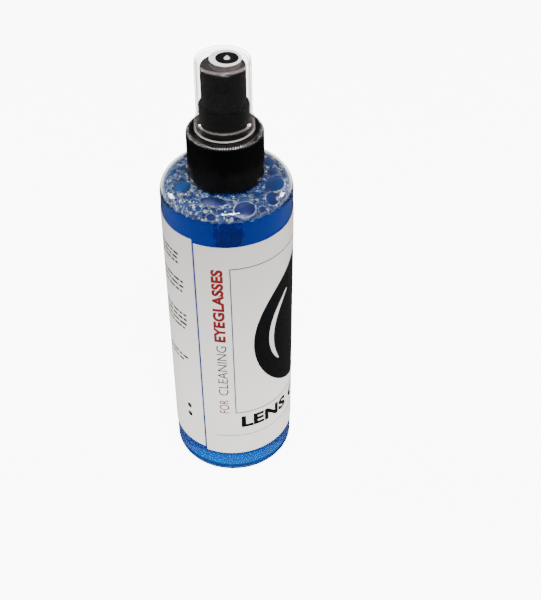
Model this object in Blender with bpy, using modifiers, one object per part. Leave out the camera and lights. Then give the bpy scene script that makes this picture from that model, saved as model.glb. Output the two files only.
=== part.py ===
"""Lens cleaning spray: a clear round bottle of blue liquid with a fine-mist pump.

Metres, +Z up.  The origin is the centre of the bottle's base on its standing plane, the bottle's
axis is +Z and the nozzle faces -Y.  Run with: blender --background --python part.py
"""

import math

import bmesh
import bpy

# ---------------------------------------------------------------- driving dimensions
CONTACT_GAP = 0.0003           # between pieces that rest on or slide in each other

# bottle
BOTTLE_RADIUS = 0.0240
BOTTLE_WALL = 0.0007
BOTTLE_FLOOR = 0.0012
BODY_HEIGHT = 0.1293           # top of the straight wall
SHOULDER_RADIUS = 0.0060
SHOULDER_SLOPE = math.radians(3.0)
BASE_EDGE_RADIUS = 0.0024
STANDING_RING_WIDTH = 0.0030
PUSH_UP_HEIGHT = 0.0025        # hollow under the base
PUSH_UP_BEND = 0.6             # where the hollow bends: share of its radius,
PUSH_UP_BEND_RISE = 0.75       # and share of its height there
NECK_RADIUS = 0.01095
NECK_WALL = 0.00155
NECK_HEIGHT = 0.0150           # shoulder to rim
NECK_FILLET = 0.0008

# screw thread, 24/410 finish
THREAD_PITCH = 0.003175
THREAD_SECTION = 0.00075       # radius of the rounded ridge
THREAD_HEIGHT = 0.0009         # ridge crest above its wall
THREAD_TURNS = 1.3
THREAD_END_BELOW_RIM = 0.0017
THREAD_TIP = 0.45              # section at the ridge's ends, as a share
THREAD_TIP_GROWTH = 0.2        # added at each step from the end

# label
LABEL_BOTTOM = 0.0118
LABEL_TOP_GAP = 0.0085         # below the straight wall's top
LABEL_THICKNESS = 0.00015
LABEL_GAP = 0.00010            # adhesive between label and bottle
LABEL_SEAM = 0.0005            # open butt seam
LABEL_SEAM_ANGLE = math.radians(-30.0)  # from the front, towards the left

# liquid and the froth that floats on it
LIQUID_OVER_WALL = 0.0007      # the level's height above the straight wall's top
FROTH_HEIGHT = 0.0040

# closure: ribbed screw collar with a turret round the actuator
CLOSURE_WALL = 0.00117
CLOSURE_ROOF = 0.0012
CLOSURE_CLEARANCE = 0.0003     # above the shoulder
CLOSURE_CHAMFER = 0.0013
CLOSURE_BAND = 0.0016          # smooth band under the ribs
RIB_COUNT = 88
RIB_HEIGHT = 0.0003
RIB_FADE = 0.65                # share of the chamfer that the ribs run over
ROOF_HOLE_RADIUS = 0.0032
TURRET_HEIGHT = 0.0096
TURRET_WALL = 0.0007
TURRET_BEAD_HEIGHT = 0.0018    # snap bead that holds the overcap
TURRET_BEAD_REACH = 0.0007

# actuator and its mist nozzle
ACTUATOR_RADIUS = 0.00775
ACTUATOR_HEIGHT = 0.0176
ACTUATOR_DRAFT = 0.0001
ACTUATOR_EDGE = 0.0006
ACTUATOR_WALL = 0.0011
ACTUATOR_CROWN = 0.0080        # solid part over the hollow skirt
ACTUATOR_CLEARANCE = 0.0011    # over the closure's roof when fully pressed
STROKE = 0.0055
SOCKET_WALL = 0.0011
SOCKET_DEPTH = 0.0012          # stem's reach into the solid crown
NOZZLE_DROP = 0.0045           # nozzle centre below the actuator's top
NOZZLE_RADIUS = 0.0018
NOZZLE_LENGTH = 0.0020
NOZZLE_SKIN = 0.0007
NOZZLE_FACE = 0.0009           # radius of the raised face round the orifice
NOZZLE_FACE_RISE = 0.0002
NOZZLE_RECESS = 0.0007
ORIFICE_RADIUS = 0.00025
CHANNEL_RADIUS = 0.0006

# overcap
OVERCAP_WALL = 0.0006
OVERCAP_TOP = 0.0009
OVERCAP_HEADROOM = 0.0013
OVERCAP_GRIP_GAP = 0.00036
OVERCAP_DRAFT = 0.00016
OVERCAP_EDGE = 0.0009
OVERCAP_FLARE = 0.0009
OVERCAP_FLARE_DRAFT = 0.00013
OVERCAP_SKIRT = 0.0030
OVERCAP_STEP = 0.0010
STICKER_RADIUS = 0.0054
STICKER_THICKNESS = 0.00015
STICKER_OFFSET = 0.0009

# pump
GASKET_THICKNESS = 0.0010
FLANGE_THICKNESS = 0.0010
BARREL_BORE = 0.0042
BARREL_WALL = 0.0011
BARREL_LENGTH = 0.0272         # flange top to the step
CHAMBER_BORE = 0.0027
CHAMBER_LENGTH = 0.0080
BALL_RADIUS = 0.0015
CAGE_CLEARANCE = 0.0004
CAGE_LENGTH = 0.0042
CAGE_LIP = 0.0006
CAGE_LIP_GRIP = 0.0001         # the lip's reach over the ball
SEAT_DEPTH = 0.0008            # conical ball seat
INLET_RADIUS = 0.0008
INLET_LENGTH = 0.0012
SOCKET_LENGTH = 0.0060
VENT_RADIUS = 0.0004
VENT_DROP = 0.0100
RETAINER_LENGTH = 0.0062
SEAL_THICKNESS = 0.0008

# moving stem
STEM_RADIUS = 0.0019
STEM_BORE = 0.0008
PORT_RADIUS = 0.0005           # cross port in the stem's foot
PORT_HEIGHT = 0.0010
SHOULDER_FLANGE = 0.0011
SHOULDER_THICKNESS = 0.0012
PISTON_WALL = 0.0007
PISTON_LENGTH = 0.0035
PISTON_LIP = 0.0030
PISTON_SKIN = 0.0006
POPPET_THICKNESS = 0.0010
POPPET_PIN = 0.0003            # reach into the stem's foot
POPPET_TAIL = 0.0045
POPPET_TAIL_RADIUS = 0.0010
PRELOAD_LENGTH = 0.0034
PRELOAD_WIRE = 0.0002
PRELOAD_TURNS = 3
RETURN_WIRE = 0.00025
RETURN_TURNS = 8

# dip tube
TUBE_RADIUS = 0.0020
TUBE_BORE = 0.0013
TUBE_CLEARANCE = 0.0020        # above the bottle's floor
TUBE_CUT_ANGLE = math.radians(40.0)

# facets round a full circle
COARSE, MEDIUM, FINE = 18, 44, 44

# ---------------------------------------------------------------- derived levels and radii
shoulder_start = BOTTLE_RADIUS - SHOULDER_RADIUS * (1 - math.sin(SHOULDER_SLOPE))
shoulder_top = (BODY_HEIGHT + SHOULDER_RADIUS * math.cos(SHOULDER_SLOPE)
                + (shoulder_start - NECK_RADIUS) * math.tan(SHOULDER_SLOPE))
ring_inner = BOTTLE_RADIUS - BASE_EDGE_RADIUS - STANDING_RING_WIDTH
rim = shoulder_top + NECK_HEIGHT
label_top = BODY_HEIGHT - LABEL_TOP_GAP
liquid_level = BODY_HEIGHT + LIQUID_OVER_WALL
gasket_bottom = rim + CONTACT_GAP
flange_bottom = gasket_bottom + GASKET_THICKNESS + CONTACT_GAP
flange_top = flange_bottom + FLANGE_THICKNESS
roof_underside = flange_top + CONTACT_GAP
roof_top = roof_underside + CLOSURE_ROOF
closure_bottom = shoulder_top + CLOSURE_CLEARANCE
closure_bore = NECK_RADIUS + THREAD_HEIGHT + CONTACT_GAP
closure_root = closure_bore + CLOSURE_WALL
closure_radius = closure_root + RIB_HEIGHT
turret_bore = ACTUATOR_RADIUS + CONTACT_GAP
turret_radius = turret_bore + TURRET_WALL
turret_top = roof_top + TURRET_HEIGHT

actuator_bottom = roof_top + STROKE + ACTUATOR_CLEARANCE
actuator_top = actuator_bottom + ACTUATOR_HEIGHT
crown_bottom = actuator_top - ACTUATOR_CROWN
nozzle_height = actuator_top - NOZZLE_DROP
socket_bore = STEM_RADIUS + CONTACT_GAP
stem_top = crown_bottom + SOCKET_DEPTH

overcap_bottom = roof_top + CONTACT_GAP
overcap_inner_top = actuator_top + OVERCAP_HEADROOM
overcap_top = overcap_inner_top + OVERCAP_TOP
overcap_waist = turret_radius + OVERCAP_GRIP_GAP + OVERCAP_WALL
overcap_rim = overcap_waist + OVERCAP_FLARE

barrel_radius = BARREL_BORE + BARREL_WALL
barrel_end = flange_top - BARREL_LENGTH
chamber_radius = CHAMBER_BORE + BARREL_WALL
chamber_end = barrel_end - CHAMBER_LENGTH
cage_bore = BALL_RADIUS + CAGE_CLEARANCE
cage_end = chamber_end - CAGE_LENGTH
lip_bore = BALL_RADIUS - CAGE_LIP_GRIP
inlet_end = cage_end - SEAT_DEPTH - INLET_LENGTH
tube_socket_bore = TUBE_RADIUS + CONTACT_GAP
tube_socket_radius = tube_socket_bore + SOCKET_WALL
housing_end = inlet_end - SOCKET_LENGTH
tube_top = inlet_end - CONTACT_GAP
tube_bottom = PUSH_UP_HEIGHT + BOTTLE_FLOOR + TUBE_CLEARANCE

retainer_radius = BARREL_BORE - CONTACT_GAP
retainer_bottom = flange_top - RETAINER_LENGTH
seal_top = retainer_bottom - CONTACT_GAP
stem_flange_top = seal_top - SEAL_THICKNESS - CONTACT_GAP
stem_flange_bottom = stem_flange_top - SHOULDER_THICKNESS
piston_bore = STEM_RADIUS + CONTACT_GAP
piston_top = stem_flange_bottom - PRELOAD_LENGTH - 2 * CONTACT_GAP
piston_bottom = piston_top - PISTON_LENGTH
poppet_top = piston_bottom - CONTACT_GAP
poppet_bottom = poppet_top - POPPET_THICKNESS
poppet_radius = piston_bore + PISTON_WALL
stem_bottom = poppet_top + CONTACT_GAP

# ---------------------------------------------------------------- modelling helpers


def clear_scene():
    for item in list(bpy.data.objects):
        bpy.data.objects.remove(item, do_unlink=True)


def new_collection(name):
    group = bpy.data.collections.new(name)
    bpy.context.scene.collection.children.link(group)
    return group


def finish_material(name, colour, roughness, metallic=0.0, alpha=1.0):
    material = bpy.data.materials.new(name)
    material.use_nodes = True
    shader = material.node_tree.nodes["Principled BSDF"]
    shader.inputs["Base Color"].default_value = (*colour, 1.0)
    shader.inputs["Roughness"].default_value = roughness
    shader.inputs["Metallic"].default_value = metallic
    shader.inputs["Alpha"].default_value = alpha
    material.diffuse_color = (*colour, alpha)
    return material


def arc(centre_r, centre_z, radius, start, end, steps=4):
    """Points of a circular arc in the (r, z) plane, angles in degrees from +r."""
    points = []
    for step in range(steps + 1):
        angle = math.radians(start + (end - start) * step / steps)
        points.append((centre_r + radius * math.cos(angle), centre_z + radius * math.sin(angle)))
    return points


def add_object(name, mesh, group, material=None):
    item = bpy.data.objects.new(name, mesh)
    group.objects.link(item)
    if material:
        mesh.materials.append(material)
    return item


def smooth(item, angle=math.radians(35)):
    item.data.shade_smooth()
    item.data.set_sharp_from_angle(angle=angle)


def turned(name, profile, group, material, facets, closed=True, sweep=math.tau):
    """Turn an (r, z) outline about +Z; a closed outline runs down its outer side."""
    mesh = bpy.data.meshes.new(name)
    count = len(profile)
    edges = [(i, i + 1) for i in range(count - 1)]
    if closed:
        edges.append((count - 1, 0))
    mesh.from_pydata([(r, 0.0, z) for r, z in profile], edges, [])
    item = add_object(name, mesh, group, material)
    screw = item.modifiers.new("turn", "SCREW")
    screw.axis = "Z"
    screw.angle = sweep
    screw.steps = screw.render_steps = facets
    screw.use_merge_vertices = sweep == math.tau
    screw.merge_threshold = 0.000001
    screw.use_smooth_shade = True
    return item


def ring(name, inner, outer, bottom, top, group, material, facets=COARSE):
    outline = [(outer, top), (outer, bottom), (inner, bottom), (inner, top)]
    return turned(name, outline, group, material, facets)


def cylinder(name, radius, length, centre, group, facets=COARSE, rotation=(0, 0, 0)):
    mesh = bpy.data.meshes.new(name)
    form = bmesh.new()
    bmesh.ops.create_cone(form, cap_ends=True, segments=facets, radius1=radius, radius2=radius,
                          depth=length)
    form.to_mesh(mesh)
    form.free()
    item = add_object(name, mesh, group)
    item.location = centre
    item.rotation_euler = rotation
    return item


def boolean(item, tool, operation):
    change = item.modifiers.new(tool.name, "BOOLEAN")
    change.operation = operation
    change.solver = "EXACT"
    change.object = tool
    tool.hide_render = True
    tool.display_type = "WIRE"


def coil_curve(name, points, section, group, material=None, taper=False):
    """A wire along a list of points, as a curve with a round bevel and filled caps."""
    curve = bpy.data.curves.new(name, "CURVE")
    curve.dimensions = "3D"
    curve.bevel_depth = section
    curve.bevel_resolution = 2
    curve.use_fill_caps = True
    spline = curve.splines.new("POLY")
    spline.points.add(len(points) - 1)
    for index, point in enumerate(points):
        spline.points[index].co = (*point, 1.0)
        if taper:
            from_end = min(index, len(points) - 1 - index)
            spline.points[index].radius = min(1.0, THREAD_TIP + THREAD_TIP_GROWTH * from_end)
    item = bpy.data.objects.new(name, curve)
    group.objects.link(item)
    if material:
        curve.materials.append(material)
    return item


def curve_to_mesh(item, group, material=None):
    """Replace a curve by its mesh, with the loose caps welded on."""
    name = item.name
    bpy.context.view_layer.update()
    mesh = bpy.data.meshes.new_from_object(item.evaluated_get(bpy.context.evaluated_depsgraph_get()))
    form = bmesh.new()
    form.from_mesh(mesh)
    bmesh.ops.remove_doubles(form, verts=form.verts, dist=0.000001)
    bmesh.ops.recalc_face_normals(form, faces=form.faces)
    form.to_mesh(mesh)
    form.free()
    bpy.data.objects.remove(item, do_unlink=True)
    solid = bpy.data.objects.new(name, mesh)
    group.objects.link(solid)
    if material and not mesh.materials:
        mesh.materials.append(material)
    return solid


def helix(radius, start_z, start_turn, turns, steps_per_turn=20):
    points = []
    steps = round(turns * steps_per_turn)
    for step in range(steps + 1):
        turn = start_turn + turns * step / steps
        height = start_z + THREAD_PITCH * turn
        points.append((radius * math.cos(math.tau * turn), radius * math.sin(math.tau * turn), height))
    return points


def spring_points(radius, bottom, top, turns, steps_per_turn=9):
    points = []
    steps = turns * steps_per_turn
    for step in range(steps + 1):
        angle = math.tau * step / steps_per_turn
        points.append((radius * math.cos(angle), radius * math.sin(angle),
                       bottom + (top - bottom) * step / steps))
    return points


# ---------------------------------------------------------------- bottle group

thread_start = rim - THREAD_END_BELOW_RIM - THREAD_PITCH * THREAD_TURNS


def push_up(level):
    """The base's hollow, from the axis out to the standing ring at this level."""
    return [(0.0, PUSH_UP_HEIGHT + level),
            (ring_inner * PUSH_UP_BEND, PUSH_UP_HEIGHT * PUSH_UP_BEND_RISE + level), (ring_inner, level)]


def bottle_outline():
    """Closed section: inner floor at the axis, up inside, over the rim and down outside."""
    slope = math.degrees(SHOULDER_SLOPE)
    wall, edge = BOTTLE_WALL, BASE_EDGE_RADIUS
    outline = push_up(BOTTLE_FLOOR)
    outline += arc(BOTTLE_RADIUS - edge, BOTTLE_FLOOR + edge - wall, edge - wall, -90, 0, 3)
    outline += arc(BOTTLE_RADIUS - SHOULDER_RADIUS, BODY_HEIGHT, SHOULDER_RADIUS - wall, 0, 90 - slope, 5)
    neck_bore = NECK_RADIUS - NECK_WALL
    outline += [(neck_bore + NECK_FILLET, shoulder_top - wall), (neck_bore, shoulder_top),
                (neck_bore, rim), (NECK_RADIUS, rim), (NECK_RADIUS, shoulder_top + NECK_FILLET),
                (NECK_RADIUS + NECK_FILLET, shoulder_top - NECK_FILLET * math.tan(SHOULDER_SLOPE))]
    outline += arc(BOTTLE_RADIUS - SHOULDER_RADIUS, BODY_HEIGHT, SHOULDER_RADIUS, 90 - slope, 0, 5)
    outline += arc(BOTTLE_RADIUS - edge, edge, edge, 0, -90, 3)
    return outline + push_up(0.0)[::-1]


def make_bottle(group, cutters, material):
    bottle = turned("bottle", bottle_outline(), group, material, FINE, closed=False)
    ridge_radius = NECK_RADIUS + THREAD_HEIGHT - THREAD_SECTION
    ridge = coil_curve("neck_thread", helix(ridge_radius, thread_start, 0.0, THREAD_TURNS),
                       THREAD_SECTION, cutters, taper=True)
    boolean(bottle, curve_to_mesh(ridge, cutters), "UNION")
    return bottle


def pump_clearance(bottom, top):
    """Points, bottom to top, of the space that the pump and dip tube need in a fluid."""
    gap = CONTACT_GAP
    levels = [(TUBE_RADIUS + gap, tube_bottom - gap), (TUBE_RADIUS + gap, housing_end - gap),
              (tube_socket_radius + gap, housing_end - gap), (tube_socket_radius + gap, inlet_end),
              (chamber_radius + gap, inlet_end), (chamber_radius + gap, barrel_end - gap),
              (barrel_radius + gap, barrel_end - gap)]
    inside = [(r, z) for r, z in levels if bottom <= z < top]
    return inside + [(inside[-1][0] if inside else barrel_radius + gap, top)]


def make_liquid(group, material):
    """Everything below the liquid's level, with a well for the pump and its tube."""
    wall = BOTTLE_WALL + CONTACT_GAP
    edge = BASE_EDGE_RADIUS
    floor = BOTTLE_FLOOR + CONTACT_GAP
    radius = BOTTLE_RADIUS - wall
    corner = SHOULDER_RADIUS - wall
    level_radius = radius - corner + math.sqrt(corner ** 2 - LIQUID_OVER_WALL ** 2)
    outline = [(0.0, tube_bottom - CONTACT_GAP)]
    outline += pump_clearance(tube_bottom - CONTACT_GAP, liquid_level)
    outline += [(level_radius, liquid_level), (radius, BODY_HEIGHT)]
    outline += arc(BOTTLE_RADIUS - edge, floor + edge - wall, edge - wall, 0, -90, 3)
    outline += push_up(floor)[::-1]
    return turned("cleaning_liquid", outline, group, material, FINE, closed=False)


def make_froth(group, material):
    """Froth between the liquid's level and the shoulder, round the pump."""
    wall = BOTTLE_WALL + CONTACT_GAP
    bottom = liquid_level + CONTACT_GAP
    top = bottom + FROTH_HEIGHT
    corner = SHOULDER_RADIUS - wall

    def wall_radius(height):
        rise = max(0.0, height - BODY_HEIGHT)
        return BOTTLE_RADIUS - SHOULDER_RADIUS + math.sqrt(max(0.0, corner ** 2 - rise ** 2))

    levels = [top - FROTH_HEIGHT * step / 4 for step in range(5)]
    outline = [(wall_radius(height), height) for height in levels]
    inner = barrel_radius + CONTACT_GAP
    outline += [(inner, bottom), (inner, top)]
    return turned("froth", outline, group, material, FINE)


def make_label(group, material):
    radius = BOTTLE_RADIUS + LABEL_GAP + LABEL_THICKNESS
    seam = LABEL_SEAM / radius
    outline = [(radius, label_top), (radius, LABEL_BOTTOM)]
    label = turned("wrap_label", outline, group, material, FINE, closed=False, sweep=math.tau - seam)
    label.rotation_euler.z = LABEL_SEAM_ANGLE - math.pi / 2 + seam / 2
    sheet = label.modifiers.new("sheet", "SOLIDIFY")
    sheet.thickness = LABEL_THICKNESS
    sheet.offset = -1.0
    return label


# ---------------------------------------------------------------- closure and overcap


def ribbed_sleeve(cutters):
    """Ring of fine vertical ribs between the closure's smooth band and its chamfer."""
    form = bmesh.new()
    sides = 2 * RIB_COUNT
    bottom = closure_bottom + CLOSURE_BAND
    fade = CLOSURE_CHAMFER * RIB_FADE
    top = roof_top - CLOSURE_CHAMFER + fade
    valley = RIB_HEIGHT * 1.2
    rings = []
    for height, shrink in ((bottom, 0.0), (roof_top - CLOSURE_CHAMFER, 0.0), (top, fade)):
        outer = bmesh.ops.create_circle(form, segments=sides, radius=closure_radius - shrink)["verts"]
        for index, vertex in enumerate(outer):
            if index % 2:
                vertex.co *= (closure_radius - shrink - valley) / (closure_radius - shrink)
            vertex.co.z = height
        rings.append(outer)
    for height, depth in ((top, 0.1), (bottom, 0.4)):
        core = closure_bore + CLOSURE_WALL * depth
        inner = bmesh.ops.create_circle(form, segments=sides, radius=core)["verts"]
        for vertex in inner:
            vertex.co.z = height
        rings.append(inner)
    for lower, upper in zip(rings, rings[1:] + rings[:1]):
        for index in range(sides):
            after = (index + 1) % sides
            form.faces.new((lower[index], lower[after], upper[after], upper[index]))
    bmesh.ops.recalc_face_normals(form, faces=form.faces)
    mesh = bpy.data.meshes.new("closure_ribs")
    form.to_mesh(mesh)
    form.free()
    return add_object("closure_ribs", mesh, cutters)


def make_closure(group, cutters, material):
    bead_top = roof_top + OVERCAP_SKIRT
    bead_reach = min(TURRET_BEAD_REACH, overcap_rim - OVERCAP_WALL - CONTACT_GAP - turret_radius)
    outline = arc(turret_radius - TURRET_WALL / 2, turret_top - TURRET_WALL / 2, TURRET_WALL / 2, 180, 0, 4)
    outline += [(turret_radius, bead_top), (turret_radius + bead_reach, bead_top - bead_reach),
                (turret_radius + bead_reach, bead_top - TURRET_BEAD_HEIGHT),
                (turret_radius, bead_top - TURRET_BEAD_HEIGHT - bead_reach), (turret_radius, roof_top),
                (closure_root - CLOSURE_CHAMFER, roof_top), (closure_root, roof_top - CLOSURE_CHAMFER),
                (closure_root, closure_bottom + CLOSURE_BAND),
                (closure_radius, closure_bottom + CLOSURE_BAND - RIB_HEIGHT),
                (closure_radius, closure_bottom + RIB_HEIGHT), (closure_radius - RIB_HEIGHT, closure_bottom),
                (closure_bore, closure_bottom), (closure_bore, roof_underside),
                (ROOF_HOLE_RADIUS, roof_underside), (ROOF_HOLE_RADIUS, roof_top), (turret_bore, roof_top)]
    closure = turned("closure", outline, group, material, MEDIUM)
    ridge_radius = closure_bore - THREAD_HEIGHT + THREAD_SECTION + CONTACT_GAP / 6
    ridge = coil_curve("closure_thread",
                       helix(ridge_radius, thread_start - THREAD_PITCH / 2, -0.2, THREAD_TURNS),
                       THREAD_SECTION, cutters, taper=True)
    boolean(closure, ribbed_sleeve(cutters), "UNION")
    boolean(closure, curve_to_mesh(ridge, cutters), "UNION")
    return closure


def make_overcap(group, material):
    edge, wall = OVERCAP_EDGE, OVERCAP_WALL
    top_radius = overcap_waist - OVERCAP_DRAFT
    step_bottom = overcap_bottom + OVERCAP_SKIRT
    step_top = step_bottom + OVERCAP_STEP
    outline = [(0.0, overcap_inner_top)]
    outline += arc(top_radius - edge, overcap_inner_top - edge + wall, edge - wall, 90, 0, 2)
    outline += [(overcap_waist - wall, step_top), (overcap_rim - wall, step_bottom),
                (overcap_rim - wall, overcap_bottom), (overcap_rim, overcap_bottom),
                (overcap_rim - OVERCAP_FLARE_DRAFT, step_bottom), (overcap_waist, step_top)]
    outline += arc(top_radius - edge, overcap_top - edge, edge, 0, 90, 3)
    outline += [(0.0, overcap_top)]
    return turned("overcap", outline[::-1], group, material, MEDIUM, closed=False)


def make_sticker(group, material):
    sticker = cylinder("overcap_sticker", STICKER_RADIUS, STICKER_THICKNESS,
                       (STICKER_OFFSET, 0.0, overcap_top + CONTACT_GAP / 3 + STICKER_THICKNESS / 2),
                       group, facets=32)
    sticker.data.materials.append(material)
    return sticker


# ---------------------------------------------------------------- actuator and nozzle


def make_actuator(group, cutters, material):
    edge, wall = ACTUATOR_EDGE, ACTUATOR_WALL
    top_radius = ACTUATOR_RADIUS - ACTUATOR_DRAFT
    socket_radius = socket_bore + SOCKET_WALL
    outline = [(0.0, actuator_top)]
    outline += arc(top_radius - edge, actuator_top - edge, edge, 90, 0, 3)
    outline += [(ACTUATOR_RADIUS, actuator_bottom), (ACTUATOR_RADIUS - wall, actuator_bottom),
                (ACTUATOR_RADIUS - wall, crown_bottom), (socket_radius, crown_bottom),
                (socket_radius, actuator_bottom), (socket_bore, actuator_bottom),
                (socket_bore, stem_top + CONTACT_GAP), (0.0, stem_top + CONTACT_GAP)]
    actuator = turned("actuator", outline, group, material, MEDIUM, closed=False)
    riser_length = nozzle_height - stem_top
    riser = cylinder("actuator_riser", STEM_BORE, riser_length,
                     (0.0, 0.0, stem_top + riser_length / 2), cutters, facets=12)
    pocket = cylinder("nozzle_pocket", NOZZLE_RADIUS + CONTACT_GAP, 2 * (NOZZLE_RECESS + NOZZLE_LENGTH),
                      (0.0, -top_radius, nozzle_height), cutters, rotation=(math.pi / 2, 0, 0))
    feed = cylinder("nozzle_feed", CHANNEL_RADIUS, top_radius, (0.0, -top_radius / 2, nozzle_height),
                    cutters, facets=12, rotation=(math.pi / 2, 0, 0))
    for tool in (riser, pocket, feed):
        boolean(actuator, tool, "DIFFERENCE")
    return actuator


def make_nozzle(group, material):
    """Mist insert: a cup with its swirl space behind a fine orifice."""
    length, radius = NOZZLE_LENGTH - CONTACT_GAP, NOZZLE_RADIUS
    skin, shoulder = NOZZLE_SKIN, length - NOZZLE_FACE_RISE
    outline = [(ORIFICE_RADIUS, length), (NOZZLE_FACE, length), (NOZZLE_FACE + NOZZLE_FACE_RISE, shoulder),
               (radius, shoulder), (radius, 0.0), (radius - skin, 0.0), (radius - skin, length - skin),
               (ORIFICE_RADIUS, length - skin)]
    nozzle = turned("nozzle_insert", outline, group, material, COARSE)
    front = -(ACTUATOR_RADIUS - ACTUATOR_DRAFT) + NOZZLE_RECESS
    nozzle.location = (0.0, front + length, nozzle_height)
    nozzle.rotation_euler = (math.pi / 2, 0.0, 0.0)
    return nozzle


# ---------------------------------------------------------------- pump


def make_housing(group, cutters, material):
    outline = [(BARREL_BORE, flange_top), (closure_bore - 3 * CONTACT_GAP, flange_top),
               (closure_bore - 3 * CONTACT_GAP, flange_bottom), (barrel_radius, flange_bottom),
               (barrel_radius, barrel_end), (chamber_radius, barrel_end),
               (chamber_radius, inlet_end + CONTACT_GAP), (tube_socket_radius, inlet_end),
               (tube_socket_radius, housing_end), (tube_socket_bore, housing_end),
               (tube_socket_bore, inlet_end), (INLET_RADIUS, inlet_end),
               (INLET_RADIUS, cage_end - SEAT_DEPTH), (cage_bore, cage_end),
               (cage_bore, chamber_end - CAGE_LIP),
               (lip_bore, chamber_end - CAGE_LIP), (lip_bore, chamber_end),
               (CHAMBER_BORE, chamber_end), (CHAMBER_BORE, barrel_end + CONTACT_GAP),
               (BARREL_BORE, barrel_end + BARREL_WALL + CONTACT_GAP)]
    housing = turned("pump_housing", outline, group, material, COARSE)
    vent = cylinder("housing_vent", VENT_RADIUS, 2 * BARREL_WALL,
                    (0.0, BARREL_BORE + BARREL_WALL / 2, flange_top - VENT_DROP), cutters, facets=8,
                    rotation=(math.pi / 2, 0, 0))
    boolean(housing, vent, "DIFFERENCE")
    return housing


def make_stem(group, cutters, material):
    flange = STEM_RADIUS + SHOULDER_FLANGE
    outline = [(STEM_BORE, stem_top), (STEM_RADIUS, stem_top), (STEM_RADIUS, stem_flange_top),
               (flange, stem_flange_top), (flange, stem_flange_bottom), (STEM_RADIUS, stem_flange_bottom),
               (STEM_RADIUS, stem_bottom), (STEM_BORE, stem_bottom)]
    stem = turned("stem", outline, group, material, COARSE)
    port = cylinder("stem_port", PORT_RADIUS, 4 * STEM_RADIUS,
                    (0.0, 0.0, stem_bottom + PORT_HEIGHT), cutters, facets=8,
                    rotation=(math.pi / 2, 0, 0))
    boolean(stem, port, "DIFFERENCE")
    return stem


def make_poppet(group, material):
    """Plug that closes the stem's foot, with a seat for the piston and a tail in the spring."""
    pin = STEM_BORE - CONTACT_GAP
    tail_end = poppet_bottom - POPPET_TAIL
    outline = [(0.0, stem_bottom + POPPET_PIN), (pin, stem_bottom + POPPET_PIN), (pin, poppet_top),
               (poppet_radius, poppet_top), (poppet_radius, poppet_bottom),
               (POPPET_TAIL_RADIUS, poppet_bottom), (POPPET_TAIL_RADIUS, tail_end), (0.0, tail_end)]
    return turned("poppet", outline, group, material, COARSE, closed=False)


def make_piston(group, material):
    """Sliding sleeve with a cup lip that wipes the barrel."""
    bore, sleeve = piston_bore, piston_bore + PISTON_WALL
    lip = BARREL_BORE - CONTACT_GAP
    web = piston_bottom + PISTON_LIP / 2
    half_skin = PISTON_SKIN / 2
    outline = [(bore, piston_top), (sleeve, piston_top), (sleeve, web + half_skin),
               (lip - PISTON_SKIN, web + half_skin), (lip - PISTON_SKIN, piston_bottom + PISTON_LIP),
               (lip, piston_bottom + PISTON_LIP), (lip, piston_bottom),
               (lip - PISTON_SKIN, piston_bottom), (lip - PISTON_SKIN, web - half_skin),
               (sleeve, web - half_skin), (sleeve, piston_bottom), (bore, piston_bottom)]
    return turned("piston", outline, group, material, COARSE)


def make_springs(group, material):
    gap = CONTACT_GAP
    preload_radius = piston_bore + PRELOAD_WIRE
    preload = coil_curve("preload_spring",
                         spring_points(preload_radius, piston_top + gap + PRELOAD_WIRE,
                                       stem_flange_bottom - gap - PRELOAD_WIRE, PRELOAD_TURNS),
                         PRELOAD_WIRE, group, material)
    return_radius = CHAMBER_BORE - gap - RETURN_WIRE
    main = coil_curve("return_spring",
                      spring_points(return_radius, chamber_end + gap + RETURN_WIRE,
                                    poppet_bottom - gap - RETURN_WIRE, RETURN_TURNS),
                      RETURN_WIRE, group, material)
    return [curve_to_mesh(item, group, material) for item in (preload, main)]


def make_ball(group, material):
    mesh = bpy.data.meshes.new("check_ball")
    form = bmesh.new()
    bmesh.ops.create_uvsphere(form, u_segments=14, v_segments=8, radius=BALL_RADIUS)
    form.to_mesh(mesh)
    form.free()
    ball = add_object("check_ball", mesh, group, material)
    ball.location.z = ball_rest
    return ball


def make_dip_tube(group, cutters, material):
    tube = ring("dip_tube", TUBE_BORE, TUBE_RADIUS, tube_bottom, tube_top, group, material)
    mesh = bpy.data.meshes.new("tube_cut")
    form = bmesh.new()
    side = 6 * TUBE_RADIUS
    bmesh.ops.create_cube(form, size=side)
    form.to_mesh(mesh)
    form.free()
    cut = add_object("tube_cut", mesh, cutters)
    cut.rotation_euler = (0.0, TUBE_CUT_ANGLE, 0.0)
    low_corner = tube_bottom + TUBE_RADIUS * math.tan(TUBE_CUT_ANGLE)
    cut.location = (-side / 2 * math.sin(TUBE_CUT_ANGLE), 0.0,
                    low_corner - side / 2 * math.cos(TUBE_CUT_ANGLE))
    boolean(tube, cut, "DIFFERENCE")
    return tube


# The ball rests where its surface is one gap from the conical seat.
seat_angle = math.atan2(SEAT_DEPTH, cage_bore - INLET_RADIUS)
ball_rest = (cage_end - SEAT_DEPTH - INLET_RADIUS * math.tan(seat_angle)
             + (BALL_RADIUS + CONTACT_GAP) / math.cos(seat_angle))


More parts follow.
